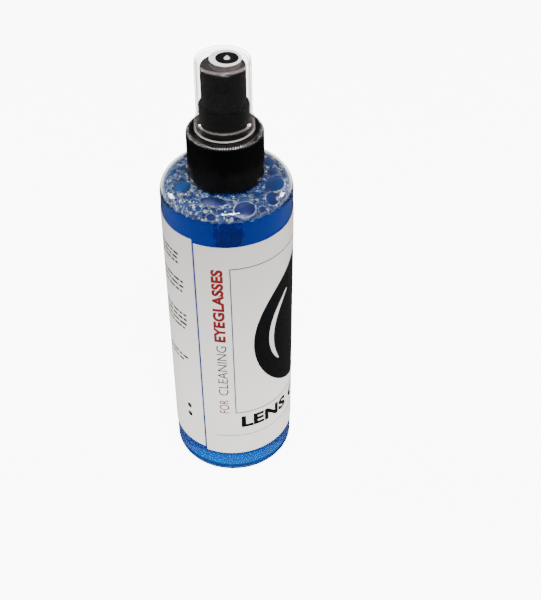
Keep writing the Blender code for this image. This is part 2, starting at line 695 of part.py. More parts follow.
def build():
    clear_scene()
    parts = new_collection("lens_cleaning_spray")
    cutters = new_collection("cutters")

    clear = finish_material("clear_plastic", (0.92, 0.95, 0.97), 0.06, alpha=0.35)
    liquid = finish_material("blue_liquid", (0.0, 0.10, 0.55), 0.05, alpha=0.85)
    foam = finish_material("froth_white", (0.72, 0.80, 0.95), 0.35, alpha=0.85)
    paper = finish_material("label_film", (0.80, 0.81, 0.83), 0.40)
    black = finish_material("black_plastic", (0.012, 0.012, 0.014), 0.28)
    natural = finish_material("natural_plastic", (0.82, 0.84, 0.86), 0.35)
    soft = finish_material("soft_seal", (0.85, 0.85, 0.82), 0.60)
    steel = finish_material("spring_steel", (0.62, 0.62, 0.60), 0.25, metallic=1.0)

    pieces = [
        make_bottle(parts, cutters, clear),
        make_liquid(parts, liquid),
        make_froth(parts, foam),
        make_label(parts, paper),
        make_closure(parts, cutters, black),
        make_overcap(parts, clear),
        make_sticker(parts, paper),
        make_actuator(parts, cutters, black),
        make_nozzle(parts, black),
        make_housing(parts, cutters, natural),
        ring("bottle_gasket", barrel_radius + CONTACT_GAP, closure_bore - 2 * CONTACT_GAP,
             gasket_bottom, gasket_bottom + GASKET_THICKNESS, parts, soft, facets=28),
        ring("retainer_ring", STEM_RADIUS + CONTACT_GAP, retainer_radius, retainer_bottom, flange_top,
             parts, natural),
        ring("stem_seal", STEM_RADIUS + CONTACT_GAP, retainer_radius, seal_top - SEAL_THICKNESS, seal_top,
             parts, soft),
        make_stem(parts, cutters, natural),
        make_poppet(parts, natural),
        make_piston(parts, soft),
        make_ball(parts, steel),
        make_dip_tube(parts, cutters, clear),
    ]
    pieces += make_springs(parts, steel)
    for piece in pieces:
        smooth(piece)
    return pieces


build()
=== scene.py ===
"""The looks of a lens cleaning spray: clear bottle of blue liquid, printed wrap label, black screw
closure with its mist actuator, and a clear overcap.

Metres, +Z up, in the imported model's own frame: the bottle stands on z = 0 round the Z axis and the
nozzle faces -Y.  Angles on the label are degrees from the front, positive to the right.
"""

import math
import random

import bmesh
import bpy
from mathutils import Euler, Matrix, Vector


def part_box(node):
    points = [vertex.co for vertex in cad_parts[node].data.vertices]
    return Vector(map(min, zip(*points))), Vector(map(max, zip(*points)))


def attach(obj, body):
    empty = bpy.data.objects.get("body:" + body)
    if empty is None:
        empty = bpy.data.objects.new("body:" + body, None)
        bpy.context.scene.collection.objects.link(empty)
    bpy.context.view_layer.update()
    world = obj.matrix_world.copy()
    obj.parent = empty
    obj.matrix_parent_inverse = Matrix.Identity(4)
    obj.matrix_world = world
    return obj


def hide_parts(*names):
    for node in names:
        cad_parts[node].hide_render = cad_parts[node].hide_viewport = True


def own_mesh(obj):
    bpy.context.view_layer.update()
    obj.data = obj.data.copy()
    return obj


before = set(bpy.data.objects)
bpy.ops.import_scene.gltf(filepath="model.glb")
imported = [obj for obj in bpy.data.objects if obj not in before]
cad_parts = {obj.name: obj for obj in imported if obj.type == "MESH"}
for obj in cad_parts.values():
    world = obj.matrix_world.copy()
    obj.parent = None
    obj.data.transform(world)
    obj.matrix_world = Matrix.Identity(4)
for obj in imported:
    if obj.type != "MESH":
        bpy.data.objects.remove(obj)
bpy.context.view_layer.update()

# ---------------------------------------------------------------- sizes
bottle_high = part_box("bottle")[1]
label_low, label_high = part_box("wrap_label")
liquid_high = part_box("cleaning_liquid")[1]
froth_low, froth_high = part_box("froth")
closure_low, closure_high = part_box("closure")
overcap_low, overcap_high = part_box("overcap")
sticker_low, sticker_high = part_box("overcap_sticker")
actuator_low, actuator_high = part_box("actuator")
nozzle_low, nozzle_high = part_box("nozzle_insert")
housing_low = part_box("pump_housing")[0]
tube_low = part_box("dip_tube")[0]

ROUND = 128                    # facets round a large piece
POLE = 0.000001                # radius that stands for a point on the axis
FINE_GAP = 0.00003             # overlap of liquid and wall, so that light passes without an air gap

# bottle
BOTTLE_RADIUS = bottle_high.x
WALL = 0.0007
FLOOR = 0.0012
BODY_TOP = 0.1293
SHOULDER_CURVE = 0.0060
SHOULDER_TOP = 0.13568
SHOULDER_SLOPE = 87.0          # degrees through which the shoulder's curve turns
NECK_FOOT = 0.0125             # radius at which the shoulder turns up into the neck
WALL_RINGS = (0.03, 0.06, 0.09, 0.115)
BASE_EDGE = 0.0024
PUSH_UP = 0.0025
RING_INNER = BOTTLE_RADIUS - BASE_EDGE - 0.0030
NECK_RADIUS = 0.01095
NECK_BORE = 0.0094
RIM = bottle_high.z
THREAD_PITCH = 0.003175
THREAD_TURNS = 1.3
THREAD_SECTION = 0.00075
THREAD_BELOW_RIM = 0.0017

# wells in the liquid for the pump and its tube: radii and heights
PUMP_BARREL = 0.0053
PUMP_CHAMBER = 0.0038
TUBE_SOCKET = 0.0031
TUBE_RADIUS = 0.0020
SOCKET_TOP = 0.1175
CHAMBER_TOP = 0.12608

# froth
FROTH_INNER = 0.0136
SHOULDER_CENTRE = BOTTLE_RADIUS - SHOULDER_CURVE
FROTH_CURVE = SHOULDER_CURVE - WALL - 0.00006
FROTH_REACH = 0.0120           # how far along the skin the small bubbles go
GRID = 0.0012                  # side of the boxes that neighbours are looked up in
TRIES = 60000
# large bubbles: degrees from the front, distance from the axis, radius, stretch round the bottle,
# flatness, tint
LARGE_BUBBLES = [(-67.0, 0.0166, 0.0035, 1.1, 0.35, 0.80), (-105.0, 0.0165, 0.0017, 1.0, 0.5, 0.7),
                 (74.0, 0.0180, 0.0035, 1.4, 0.28, 0.35), (97.0, 0.0166, 0.0021, 1.0, 0.5, 0.2),
                 (118.0, 0.0172, 0.0022, 1.2, 0.5, 0.4), (20.0, 0.0202, 0.0031, 1.4, 0.28, 0.0),
                 (53.0, 0.0208, 0.0026, 1.3, 0.40, 0.1), (44.0, 0.0160, 0.0015, 1.1, 0.5, 0.3),
                 (36.0, 0.0220, 0.0014, 1.1, 0.5, 0.1), (150.0, 0.0185, 0.0023, 1.2, 0.45, 0.5),
                 (186.0, 0.0172, 0.0017, 1.3, 0.5, 0.5), (228.0, 0.0190, 0.0026, 1.0, 0.4, 0.3),
                 (-43.0, 0.0182, 0.0012, 1.0, 0.55, 0.6), (262.0, 0.0192, 0.0015, 1.1, 0.5, 0.6),
                 (-14.0, 0.0160, 0.0026, 2.2, 0.30, 0.05), (-12.0, 0.0222, 0.0014, 1.4, 0.4, 0.05),
                 (25.0, 0.0158, 0.0017, 1.5, 0.40, 0.3), (72.0, 0.0216, 0.0014, 1.3, 0.5, 0.15),
                 (92.0, 0.0208, 0.0014, 1.1, 0.5, 0.25), (-26.0, 0.0206, 0.0011, 1.2, 0.5, 0.5)]

# closure, overcap and actuator
CLOSURE_BORE = 0.01215
BORE_SEAM = 0.145              # height at which the closure's section starts and ends
CLOSURE_RADIUS = closure_high.x
CLOSURE_BOTTOM = closure_low.z
ROOF = 0.15478                 # top of the closure's roof
ROOF_UNDERSIDE = 0.15358
RIBS = 88
RIB_DEPTH = 0.00040
ROOF_GROOVE = 0.00010          # how far the grooves drop where they run over the top edge
ROOF_GROOVE_END = 0.0110       # radius at which they die out on the roof
BAND = 0.0016
CHAMFER = 0.0013
STEM_HOLE = 0.0032
TURRET_BORE = 0.00805
TURRET_RADIUS = 0.00875
TURRET_TOP = closure_high.z
ACTUATOR_RADIUS = actuator_high.x
ACTUATOR_SKIRT = 0.0011        # wall of its skirt
CROWN_DEPTH = 0.0080
STEM_SOCKET = 0.0030           # outside of the socket that grips the stem
STEM_BORE = 0.00195
NOZZLE_LAND = 0.0029           # half the height of the flatter band round the nozzle
NOZZLE_RADIUS = 0.0018
SPRAY_HOLE = 0.00025
OVERCAP_WALL = 0.0006
OVERCAP_RIM = overcap_high.x
OVERCAP_WAIST = OVERCAP_RIM - 0.0009
OVERCAP_EDGE = 0.0009          # rounding of its top edge
OVERCAP_FLARE = 0.0030         # height of the flared rim

# label
LABEL_RADIUS = label_high.x
LABEL_SEAM = -27.7             # degrees
LABEL_TILT = math.radians(0.55)
INK = 0.00002                  # height of the print above the label
INK_SINK = 0.000006
LABEL_MIDDLE = 0.5 * (label_low.z + label_high.z)
SEAM_GAP = 0.0004              # half the gap between the label's ends
FILM = 0.00015                 # the label's thickness
TITLE_BASE = -2.0              # degrees
TITLE_CAPITALS = 0.0039
FRAME_LEFT, FRAME_RIGHT = 3.6, 196.0      # degrees
FRAME_LOW, FRAME_HIGH = 0.0358, 0.1112
FRAME_LINE = 0.00042
DROP_AT, DROP_LEVEL = 100.0, 0.0715       # degrees, height
SPOT_RADIUS = 0.0039
SPOT_SHIFT = 0.00055           # how far the sticker's spot is off the sticker's middle

# light
LIQUID_DYE = (0.0, 0.83, 0.942)
LIQUID_STRENGTH = 450.0
LIGHT_THROUGH_LABEL = 0.9
SEEN_GLOW = 8.5                # of the floor and the backdrop that the camera sees
TABLE_GLOW = 2.2               # of the floor that lights the bottle
BACKDROP_RADIUS = 2.95


# ---------------------------------------------------------------- modelling helpers


def deselect():
    if bpy.context.object and bpy.context.object.mode != "OBJECT":
        bpy.ops.object.mode_set(mode="OBJECT")
    bpy.ops.object.select_all(action="DESELECT")


def choose(*pieces):
    """Make these pieces, and only these, the selected ones; the first is the active one."""
    deselect()
    for piece in pieces:
        piece.select_set(True)
    bpy.context.view_layer.objects.active = pieces[0]


def named(name):
    """The piece that an operator has just made, under its own name."""
    piece = bpy.context.object
    piece.name = name
    piece.data.name = name
    return piece


def pick(piece, test):
    """In edit mode, select the vertices that pass the test, and no others."""
    form = bmesh.from_edit_mesh(piece.data)
    form.select_mode = {"VERT"}
    for vertex in form.verts:
        vertex.select = bool(test(vertex.co))
    form.select_flush_mode()
    bmesh.update_edit_mesh(piece.data)


def weld(distance=0.000002):
    """In edit mode, join the doubles and turn every face outwards."""
    bpy.ops.mesh.select_all(action="SELECT")
    bpy.ops.mesh.remove_doubles(threshold=distance)
    bpy.ops.mesh.normals_make_consistent(inside=False)


def shade(piece, degrees=30.0):
    choose(piece)
    bpy.ops.object.shade_smooth_by_angle(angle=math.radians(degrees))


def apply_modifier(piece, kind, **settings):
    choose(piece)
    change = piece.modifiers.new(kind.lower(), kind)
    for key, value in settings.items():
        setattr(change, key, value)
    bpy.ops.object.modifier_apply(modifier=change.name)


def joined(name, pieces):
    choose(*pieces)
    if len(pieces) > 1:
        bpy.ops.object.join()
    return named(name)


def arc(centre_r, centre_z, radius, start, end, steps):
    """Points of a section on part of a circle; angles in degrees from the outward direction."""
    points = []
    for step in range(steps + 1):
        angle = math.radians(start + (end - start) * step / steps)
        points.append((centre_r + radius * math.cos(angle), centre_z + radius * math.sin(angle)))
    return points


def softened(corners, steps=4):
    """A section's points, from corners (radius, height, rounding), with each corner rounded."""
    points = []
    last = len(corners) - 1
    for index, corner in enumerate(corners):
        here = Vector(corner[:2])
        rounding = corner[2] if len(corner) > 2 else 0.0
        if not rounding or index in (0, last):
            points.append(tuple(here))
            continue
        back = Vector(corners[index - 1][:2]) - here
        ahead = Vector(corners[index + 1][:2]) - here
        cut = min(rounding, back.length * 0.48, ahead.length * 0.48)
        start, end = here + back.normalized() * cut, here + ahead.normalized() * cut
        for step in range(steps + 1):
            t = step / steps
            points.append(tuple((1 - t) ** 2 * start + 2 * t * (1 - t) * here + t * t * end))
    return points


def turned(name, section, facets=ROUND, angle=30.0):
    """A round piece: one ring of points, extruded from level to level and scaled to each radius."""
    deselect()
    radius, height = section[0]
    radius = max(radius, POLE)
    bpy.ops.mesh.primitive_circle_add(vertices=facets, radius=radius, location=(0.0, 0.0, 0.0))
    piece = named(name)
    bpy.ops.object.mode_set(mode="EDIT")
    bpy.ops.transform.translate(value=(0.0, 0.0, height))
    for next_radius, next_height in section[1:]:
        next_radius = max(next_radius, POLE)
        bpy.ops.mesh.extrude_region_move(
            TRANSFORM_OT_translate={"value": (0.0, 0.0, next_height - height)})
        scale = next_radius / radius
        if abs(scale - 1.0) > 1e-9:
            bpy.ops.transform.resize(value=(scale, scale, 1.0), center_override=(0.0, 0.0, next_height))
        radius, height = next_radius, next_height
    weld()
    bpy.ops.object.mode_set(mode="OBJECT")
    shade(piece, angle)
    return piece


def thread_ridge(name, radius, start, turn):
    """A screw thread's rounded ridge with tapered ends, as a mesh."""
    deselect()
    steps = round(THREAD_TURNS * 32)
    curve = bpy.data.curves.new(name, "CURVE")
    curve.dimensions = "3D"
    curve.bevel_depth = THREAD_SECTION
    curve.bevel_resolution = 3
    curve.use_fill_caps = True
    spline = curve.splines.new("POLY")
    spline.points.add(steps)
    for step, point in enumerate(spline.points):
        at = turn + THREAD_TURNS * step / steps
        point.co = (radius * math.cos(math.tau * at), radius * math.sin(math.tau * at),
                    start + THREAD_PITCH * at, 1.0)
        point.radius = min(1.0, 0.4 + 0.12 * min(step, steps - step))
    ridge = bpy.data.objects.new(name, curve)
    bpy.context.scene.collection.objects.link(ridge)
    choose(ridge)
    bpy.ops.object.convert(target="MESH")
    bpy.ops.object.mode_set(mode="EDIT")
    weld(0.000001)
    bpy.ops.object.mode_set(mode="OBJECT")
    shade(bpy.context.object, 50.0)
    return named(name)


# ---------------------------------------------------------------- finishes


class Value:
    """One socket of a node, so that shader maths is written as sums."""

    def __init__(self, finish, socket):
        self.finish, self.socket = finish, socket

    def maths(self, operation, first, second):
        return self.finish.node("ShaderNodeMath", {"operation": operation}, {0: first, 1: second})

    def __add__(self, other):
        return self.maths("ADD", self, other)

    __radd__ = __add__

    def __mul__(self, other):
        return self.maths("MULTIPLY", self, other)

    __rmul__ = __mul__

    def __sub__(self, other):
        return self.maths("SUBTRACT", self, other)

    def __rsub__(self, other):
        return self.maths("SUBTRACT", other, self)

    def __truediv__(self, other):
        return self.maths("DIVIDE", self, other)

    def __rtruediv__(self, other):
        return self.maths("DIVIDE", other, self)

    def __pow__(self, other):
        return self.maths("POWER", self, other)


class Finish:
    """A material: one Principled shader, and the nodes that vary it over the piece."""

    def __init__(self, name, **constants):
        self.material = bpy.data.materials.new(name)
        self.material.use_nodes = True
        self.tree = self.material.node_tree
        self.tree.nodes.clear()
        self.out = self.tree.nodes.new("ShaderNodeOutputMaterial")
        self.shader = self.tree.nodes.new("ShaderNodeBsdfPrincipled")
        self.tree.links.new(self.shader.outputs[0], self.out.inputs["Surface"])
        self.place = self.node("ShaderNodeTexCoord", output="Object")
        self.set(**constants)

    def node(self, kind, settings=None, sockets=None, output=0):
        node = self.tree.nodes.new(kind)
        for key, value in (settings or {}).items():
            if key == "stops":
                ramp = node.color_ramp.elements
                while len(ramp) < len(value):
                    ramp.new(1.0)
                for element, (position, colour) in zip(ramp, value):
                    element.position = position
                    element.color = (*colour, 1.0)
            else:
                setattr(node, key, value)
        for key, value in (sockets or {}).items():
            self.feed(node.inputs[key], value)
        return Value(self, node.outputs[output])

    def feed(self, socket, value):
        if isinstance(value, Value):
            self.tree.links.new(value.socket, socket)
        elif socket.type == "RGBA" and len(value) == 3:
            socket.default_value = (*value, 1.0)
        else:
            socket.default_value = value

    def set(self, **sockets):
        """Feed the shader's sockets, named with underscores for spaces."""
        for key, value in sockets.items():
            name = {"ior": "IOR", "coat_ior": "Coat IOR", "specular": "Specular IOR Level"}.get(
                key, key.replace("_", " ").title())
            self.feed(self.shader.inputs[name], value)
        return self

    def noise(self, scale, detail=3.0, roughness=0.55, place=None):
        return self.node("ShaderNodeTexNoise", None,
                         {"Vector": place or self.place, "Scale": scale, "Detail": detail,
                          "Roughness": roughness})

    def stretched(self, x, y, z):
        """The piece's place, scaled along each axis, for grain that runs one way."""
        return self.node("ShaderNodeMapping", None, {"Vector": self.place, "Scale": (x, y, z)})

    def height(self):
        """The height of a point above the floor."""
        return self.node("ShaderNodeSeparateXYZ", None, {"Vector": self.place}, output="Z")

    def blend(self, factor, first, second):
        """A mix of two colours."""
        node = self.tree.nodes.new("ShaderNodeMix")
        node.data_type = "RGBA"
        self.feed(node.inputs[0], factor)
        self.feed(node.inputs[6], first)
        self.feed(node.inputs[7], second)
        return Value(self, node.outputs[2])

    def spread(self, value, low, high, new_low=0.0, new_high=1.0):
        """A value's range moved to a new range, and held inside it."""
        return self.node("ShaderNodeMapRange", {"clamp": True},
                         {"Value": value, "From Min": low, "From Max": high, "To Min": new_low,
                          "To Max": new_high})

    def distance(self, value, level):
        """How far a value is from a level, whichever side."""
        return self.node("ShaderNodeMath", {"operation": "ABSOLUTE"}, {0: value - level})

    def bump(self, height, distance, strength=1.0):
        return self.node("ShaderNodeBump", None,
                         {"Height": height, "Distance": distance, "Strength": strength})

    def layer(self, factor, under, over):
        """One shader laid over another."""
        return self.node("ShaderNodeMixShader", None, {0: factor, 1: under, 2: over})


def clear_bottle_finish():
    """Blown clear plastic: faint waves and a few rubbed patches."""
    finish = Finish("clear_blown_plastic", ior=1.50, transmission_weight=1.0)
    waves = finish.noise(90.0, 2.0)
    rubbed = finish.spread(finish.noise(1400.0, 4.0), 0.62, 0.75)
    return finish.set(base_color=finish.blend(rubbed, (0.985, 0.992, 0.99), (0.95, 0.96, 0.965)),
                      roughness=finish.spread(waves, 0.3, 0.7, 0.004, 0.02) + rubbed * 0.03,
                      normal=finish.bump(waves, 0.00004, 0.35))


def wetted_wall_finish():
    """The inside of the bottle below the liquid's level, where plastic and liquid hardly reflect."""
    finish = Finish("wetted_plastic", ior=1.50, transmission_weight=1.0, specular_tint=(0.0, 0.0, 0.0))
    waves = finish.noise(90.0, 2.0)
    return finish.set(base_color=finish.blend(waves, (0.985, 0.992, 0.99), (0.97, 0.985, 0.99)),
                      roughness=finish.spread(waves, 0.3, 0.7, 0.0, 0.01))


def blue_liquid_finish():
    """Liquid whose dye deepens with depth, with a painted blue glow that is stronger in the foot, and a
    painted darker blue on the faces that stand on the floor.
    """
    finish = Finish("blue_cleaning_liquid", ior=1.333, transmission_weight=1.0, roughness=0.0,
                    specular_tint=(0.0, 0.0, 0.0))
    height = finish.height()
    # painted shade: the faces on the floor get a darker blue base colour, which dims the light that comes up
    # through the foot
    above_floor = finish.spread(height, 0.0036, 0.0046)
    # painted glow: the liquid glows faint blue everywhere, and more strongly in the foot
    painted_glow_in_foot = 1.0 - finish.spread(height, 0.0100, 0.0150)
    clear = finish.blend(finish.noise(60.0, 2.0), (0.97, 0.985, 1.0), (0.93, 0.97, 1.0))
    finish.set(emission_color=finish.blend(painted_glow_in_foot, (0.0, 0.008, 0.036), (0.0, 0.040, 0.20)),
               emission_strength=1.0, base_color=finish.blend(above_floor, (0.0, 0.014, 0.07), clear))
    dye = finish.node("ShaderNodeVolumeAbsorption", None,
                      {"Color": LIQUID_DYE, "Density": LIQUID_STRENGTH}, output="Volume")
    finish.feed(finish.out.inputs["Volume"], dye)
    return finish


def froth_finish():
    """Bubble films: deep blue where one bubble is looked into, and lilac-white where two films meet, partly
    a painted reflection of the films' sheen; painted glint specks glow on the pale edges.
    """
    finish = Finish("froth_films", coat_weight=0.9, coat_roughness=0.05, roughness=0.3, specular=0.6)
    film = finish.node("ShaderNodeAttribute", {"attribute_name": "film"}, output="Fac")
    tint = finish.node("ShaderNodeAttribute", {"attribute_name": "tint"}, output="Fac")
    grain = finish.noise(2500.0, 2.0)
    patches = finish.noise(420.0, 3.0)
    # edge: the pale film, partly a painted reflection of the films' sheen
    edge = finish.spread(film + (grain - 0.5) * 0.3 + (patches - 0.5) * 0.7, 0.62, 1.02)
    deep = finish.blend(tint, (0.0, 0.012, 0.20), (0.0, 0.12, 0.42))
    pale = finish.blend(tint, (0.52, 0.72, 0.90), (0.82, 0.94, 0.98))
    # painted glint specks: spots of the pale edges glow
    painted_glints = finish.spread(finish.noise(1000.0, 3.0), 0.55, 0.68) * edge
    finish.set(emission_color=finish.blend(painted_glints, (0.0, 0.0, 0.0), (1.3, 1.45, 1.6)), emission_strength=1.0)
    return finish.set(base_color=finish.blend(edge, deep, pale), normal=finish.bump(grain, 0.00006, 0.4))


def label_finish(name, low, high):
    """Coated label film: a fine satin grain and slow changes of shade. Up to the first height it is painted
    lighter and glows with painted light;
    towards the second the glow dies away, and above it the film is a darker, warmer painted shade."""
    finish = Finish(name, specular=0.45, coat_weight=0.12, coat_roughness=0.25)
    height = finish.height()
    shaded = finish.spread(height, low, high)
    shade_of_film = finish.noise(45.0, 3.0)
    grain = finish.noise(3200.0, 4.0)
    waves = finish.noise(70.0, 2.0, place=finish.stretched(1.0, 1.0, 0.35))
    # painted light and shade: lighter low on the label, a darker, warmer painted shade towards the top
    painted_light_low = finish.blend(shade_of_film, (0.72, 0.70, 0.67), (0.78, 0.765, 0.74))
    painted_shade_warmer = finish.blend(shade_of_film, (0.60, 0.555, 0.515), (0.66, 0.62, 0.585))
    colour = finish.blend(shaded, painted_light_low, painted_shade_warmer)
    # painted glow on the lower label, dying away towards the top
    finish.set(emission_color=finish.blend(shaded, (0.46, 0.45, 0.43), (0.0, 0.0, 0.0)),
               emission_strength=1.0)
    return finish.set(base_color=finish.blend(finish.spread(grain, 0.35, 0.75, 0.0, 0.25), colour,
                                              (0.60, 0.585, 0.57)),
                      roughness=finish.spread(grain, 0.3, 0.7, 0.32, 0.46),
                      normal=finish.bump(waves * 8.0 + grain * 0.25, 0.00003, 0.5))


def lit_film_finish():
    """The inside of the label, with a painted glow that stands in for the light that comes through the film.
    """
    finish = Finish("label_film_inside", roughness=0.6)
    cloud = finish.noise(60.0, 3.0)
    return finish.set(base_color=finish.blend(cloud, (0.66, 0.66, 0.65), (0.74, 0.74, 0.73)),
                      emission_color=finish.blend(cloud, (0.9, 0.9, 0.92), (1.0, 1.0, 1.0)),
                      emission_strength=LIGHT_THROUGH_LABEL)


def ink_finish(name, colour, worn):
    """Printing ink, a little uneven and slightly thinner in specks."""
    finish = Finish(name, specular=0.25)
    density = finish.noise(900.0, 4.0)
    specks = finish.spread(finish.noise(4200.0, 2.0), 0.66, 0.74)
    tone = finish.blend(finish.spread(density, 0.3, 0.75), colour, worn)
    return finish.set(base_color=finish.blend(specks * 0.04, tone, (0.72, 0.71, 0.70)),
                      roughness=finish.spread(density, 0.3, 0.7, 0.3, 0.48),
                      normal=finish.bump(density, 0.00002, 0.4))


def moulded_finish(name, colour, worn, low, high, specular, texture, below_level_blue=None):
    """Moulded plastic: spark-eroded texture, slow changes of sheen and rubbed specks; a given colour covers
    it up to the liquid's level."""
    finish = Finish(name, specular=specular)
    slow = finish.noise(55.0, 3.0)
    fine = finish.noise(5200.0, 3.0)
    rubbed = finish.spread(finish.noise(420.0, 5.0), 0.6, 0.78)
    tone = finish.blend(rubbed * 0.5 + slow * 0.15, colour, worn)
    if below_level_blue:
        # below the liquid's level the part takes the given colour
        height = finish.height()
        above_level = finish.spread(height + slow * 0.0006, liquid_high.z + 0.0002, liquid_high.z + 0.0012)
        tone = finish.blend(above_level, below_level_blue, tone)
    return finish.set(base_color=tone,
                      roughness=finish.spread(slow * 0.6 + fine * 0.4, 0.3, 0.7, low, high),
                      normal=finish.bump(fine, texture, 0.6))


def closure_finish():
    """The closure's black plastic, polished by handling over its top edge."""
    finish = moulded_finish("black_moulded_plastic", (0.0003, 0.0003, 0.0004), (0.0014, 0.0014, 0.0016),
                            0.15, 0.26, 0.36, 0.000010)
    height = finish.height()
    top_edge = finish.spread(height, ROOF - CHAMFER - 0.0001, ROOF - CHAMFER + 0.0004)
    return finish.set(coat_weight=top_edge * (1.0 - finish.spread(height, ROOF - 0.0003, ROOF - 0.0001)),
                      coat_roughness=0.12, coat_ior=1.65)


def clear_cap_finish():
    """Thin clear moulding: seen straight through, with its gloss laid over it where it is seen edge on, a
    painted grey band at its top corner and painted light lines on its flare and its rim, which stand in for
    light bent in the plastic."""
    finish = Finish("clear_moulded_plastic", metallic=1.0)
    slow = finish.noise(110.0, 2.0)
    scuffs = finish.spread(finish.noise(900.0, 5.0, place=finish.stretched(1.0, 1.0, 0.25)), 0.60, 0.76)
    ripple = finish.bump(slow, 0.00003, 0.3)
    finish.set(roughness=finish.spread(slow, 0.3, 0.7, 0.02, 0.07), normal=ripple,
               base_color=finish.blend(slow, (0.93, 0.90, 0.89), (0.98, 0.96, 0.95)))
    height = finish.height()
    rim = 1.0 - finish.spread(height, overcap_low.z + 0.0003, overcap_low.z + 0.0005)
    flare = 1.0 - finish.spread(finish.distance(height, overcap_low.z + 0.0032), 0.00018, 0.00034)
    corner = finish.spread(height, overcap_high.z - 0.0010, overcap_high.z - 0.0004)
    corner = corner * (1.0 - finish.spread(height, overcap_high.z - 0.00006, overcap_high.z - 0.00002))
    clear = finish.node("ShaderNodeBsdfTransparent", None, {"Color": (0.985, 0.968, 0.958)})
    # painted light bent in the plastic: a grey band at the top corner, pale lines on the rim and the flare
    painted_corner_band = finish.node("ShaderNodeBsdfDiffuse", None, {"Color": (0.36, 0.32, 0.31)})
    painted_edge_light = finish.node("ShaderNodeBsdfDiffuse", None, {"Color": (0.80, 0.74, 0.73)})
    facing = finish.node("ShaderNodeLayerWeight", None, {"Blend": 0.5}, output="Facing")
    gloss = Value(finish, finish.shader.outputs[0])
    look = finish.layer(0.04 + 0.85 * facing ** 3.2 + scuffs * 0.03, clear, gloss)
    look = finish.layer(corner * 0.42, look, painted_corner_band)
    look = finish.layer(rim * 0.50 + flare * 0.08, look, painted_edge_light)
    finish.feed(finish.out.inputs["Surface"], look)
    return finish


def steel_finish(name, low, high):
    """Bright steel with fine drawing marks, between two roughnesses."""
    finish = Finish(name, metallic=1.0)
    drawn = finish.noise(2600.0, 3.0, place=finish.stretched(1.0, 1.0, 0.2))
    return finish.set(base_color=finish.blend(drawn, (0.50, 0.50, 0.49), (0.68, 0.68, 0.67)),
                      roughness=finish.spread(drawn, 0.3, 0.7, low, high),
                      normal=finish.bump(drawn, 0.00001, 0.4))


clear_plastic = clear_bottle_finish().material
wetted_plastic = wetted_wall_finish().material
blue_liquid = blue_liquid_finish().material
froth_films = froth_finish().material
label_film = label_finish("satin_label_film", label_low.z + 0.030, label_high.z).material
label_inside = lit_film_finish().material
red_ink = ink_finish("red_ink", (0.17, 0.002, 0.004), (0.22, 0.005, 0.008)).material
grey_ink = ink_finish("grey_ink", (0.035, 0.038, 0.045), (0.07, 0.072, 0.08)).material
pale_ink = ink_finish("pale_grey_ink", (0.16, 0.165, 0.18), (0.24, 0.245, 0.26)).material
black_ink = ink_finish("black_ink", (0.0015, 0.0015, 0.002), (0.006, 0.006, 0.007)).material
white_ink = ink_finish("white_ink", (0.74, 0.74, 0.73), (0.68, 0.68, 0.67)).material
black_closure = closure_finish().material
black_satin = moulded_finish("black_satin_plastic", (0.0018, 0.0018, 0.0030), (0.006, 0.006, 0.008),
                             0.18, 0.34, 0.50, 0.00002).material
natural_plastic = moulded_finish("natural_white_plastic", (0.62, 0.63, 0.62), (0.55, 0.56, 0.56),
                                 0.35, 0.5, 0.4, 0.00002).material
blue_below_level_plastic = moulded_finish("housing_blue_below_level", (0.56, 0.60, 0.66), (0.50, 0.54, 0.60),
                                 0.35, 0.5, 0.3, 0.00002, below_level_blue=(0.12, 0.05, 0.72)).material
piston_plastic = moulded_finish("piston_plastic", (0.66, 0.67, 0.68), (0.58, 0.58, 0.58),
                                0.3, 0.45, 0.4, 0.00001).material
tube_plastic = moulded_finish("tube_plastic", (0.66, 0.70, 0.74), (0.60, 0.64, 0.68),
                              0.2, 0.35, 0.5, 0.00001).material
seal_rubber = moulded_finish("seal_rubber", (0.02, 0.02, 0.021), (0.05, 0.05, 0.05),
                             0.6, 0.8, 0.3, 0.00004).material
seal_foam = moulded_finish("seal_foam", (0.70, 0.69, 0.66), (0.58, 0.57, 0.55),
                           0.75, 0.95, 0.2, 0.00008).material
clear_cap = clear_cap_finish().material
# the whole sticker lies below its first height, so it gets the painted lighter colour and the painted glow
# all over
sticker_paper = label_finish("sticker_paper", sticker_high.z, sticker_high.z + 0.010).material
spring_steel = steel_finish("spring_steel", 0.18, 0.34).material
ball_steel = steel_finish("ball_steel", 0.06, 0.16).material


def finish_piece(piece, material, body, slot, *replaced):
    """Give a piece its material, its body and the nodes it stands for; the slot is not used."""
    piece.data.materials.clear()
    piece.data.materials.append(material)
    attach(piece, body)
    if replaced:
        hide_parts(*replaced)
    return piece


# ---------------------------------------------------------------- bottle and liquid


def push_up(level):
    """The hollow under the base at this level, from the axis out to the standing ring."""
    return [(0.0, PUSH_UP + level), (RING_INNER * 0.3, PUSH_UP * 0.93 + level, 0.004),
            (RING_INNER * 0.62, PUSH_UP * 0.75 + level, 0.004), (RING_INNER, level, 0.0012)]


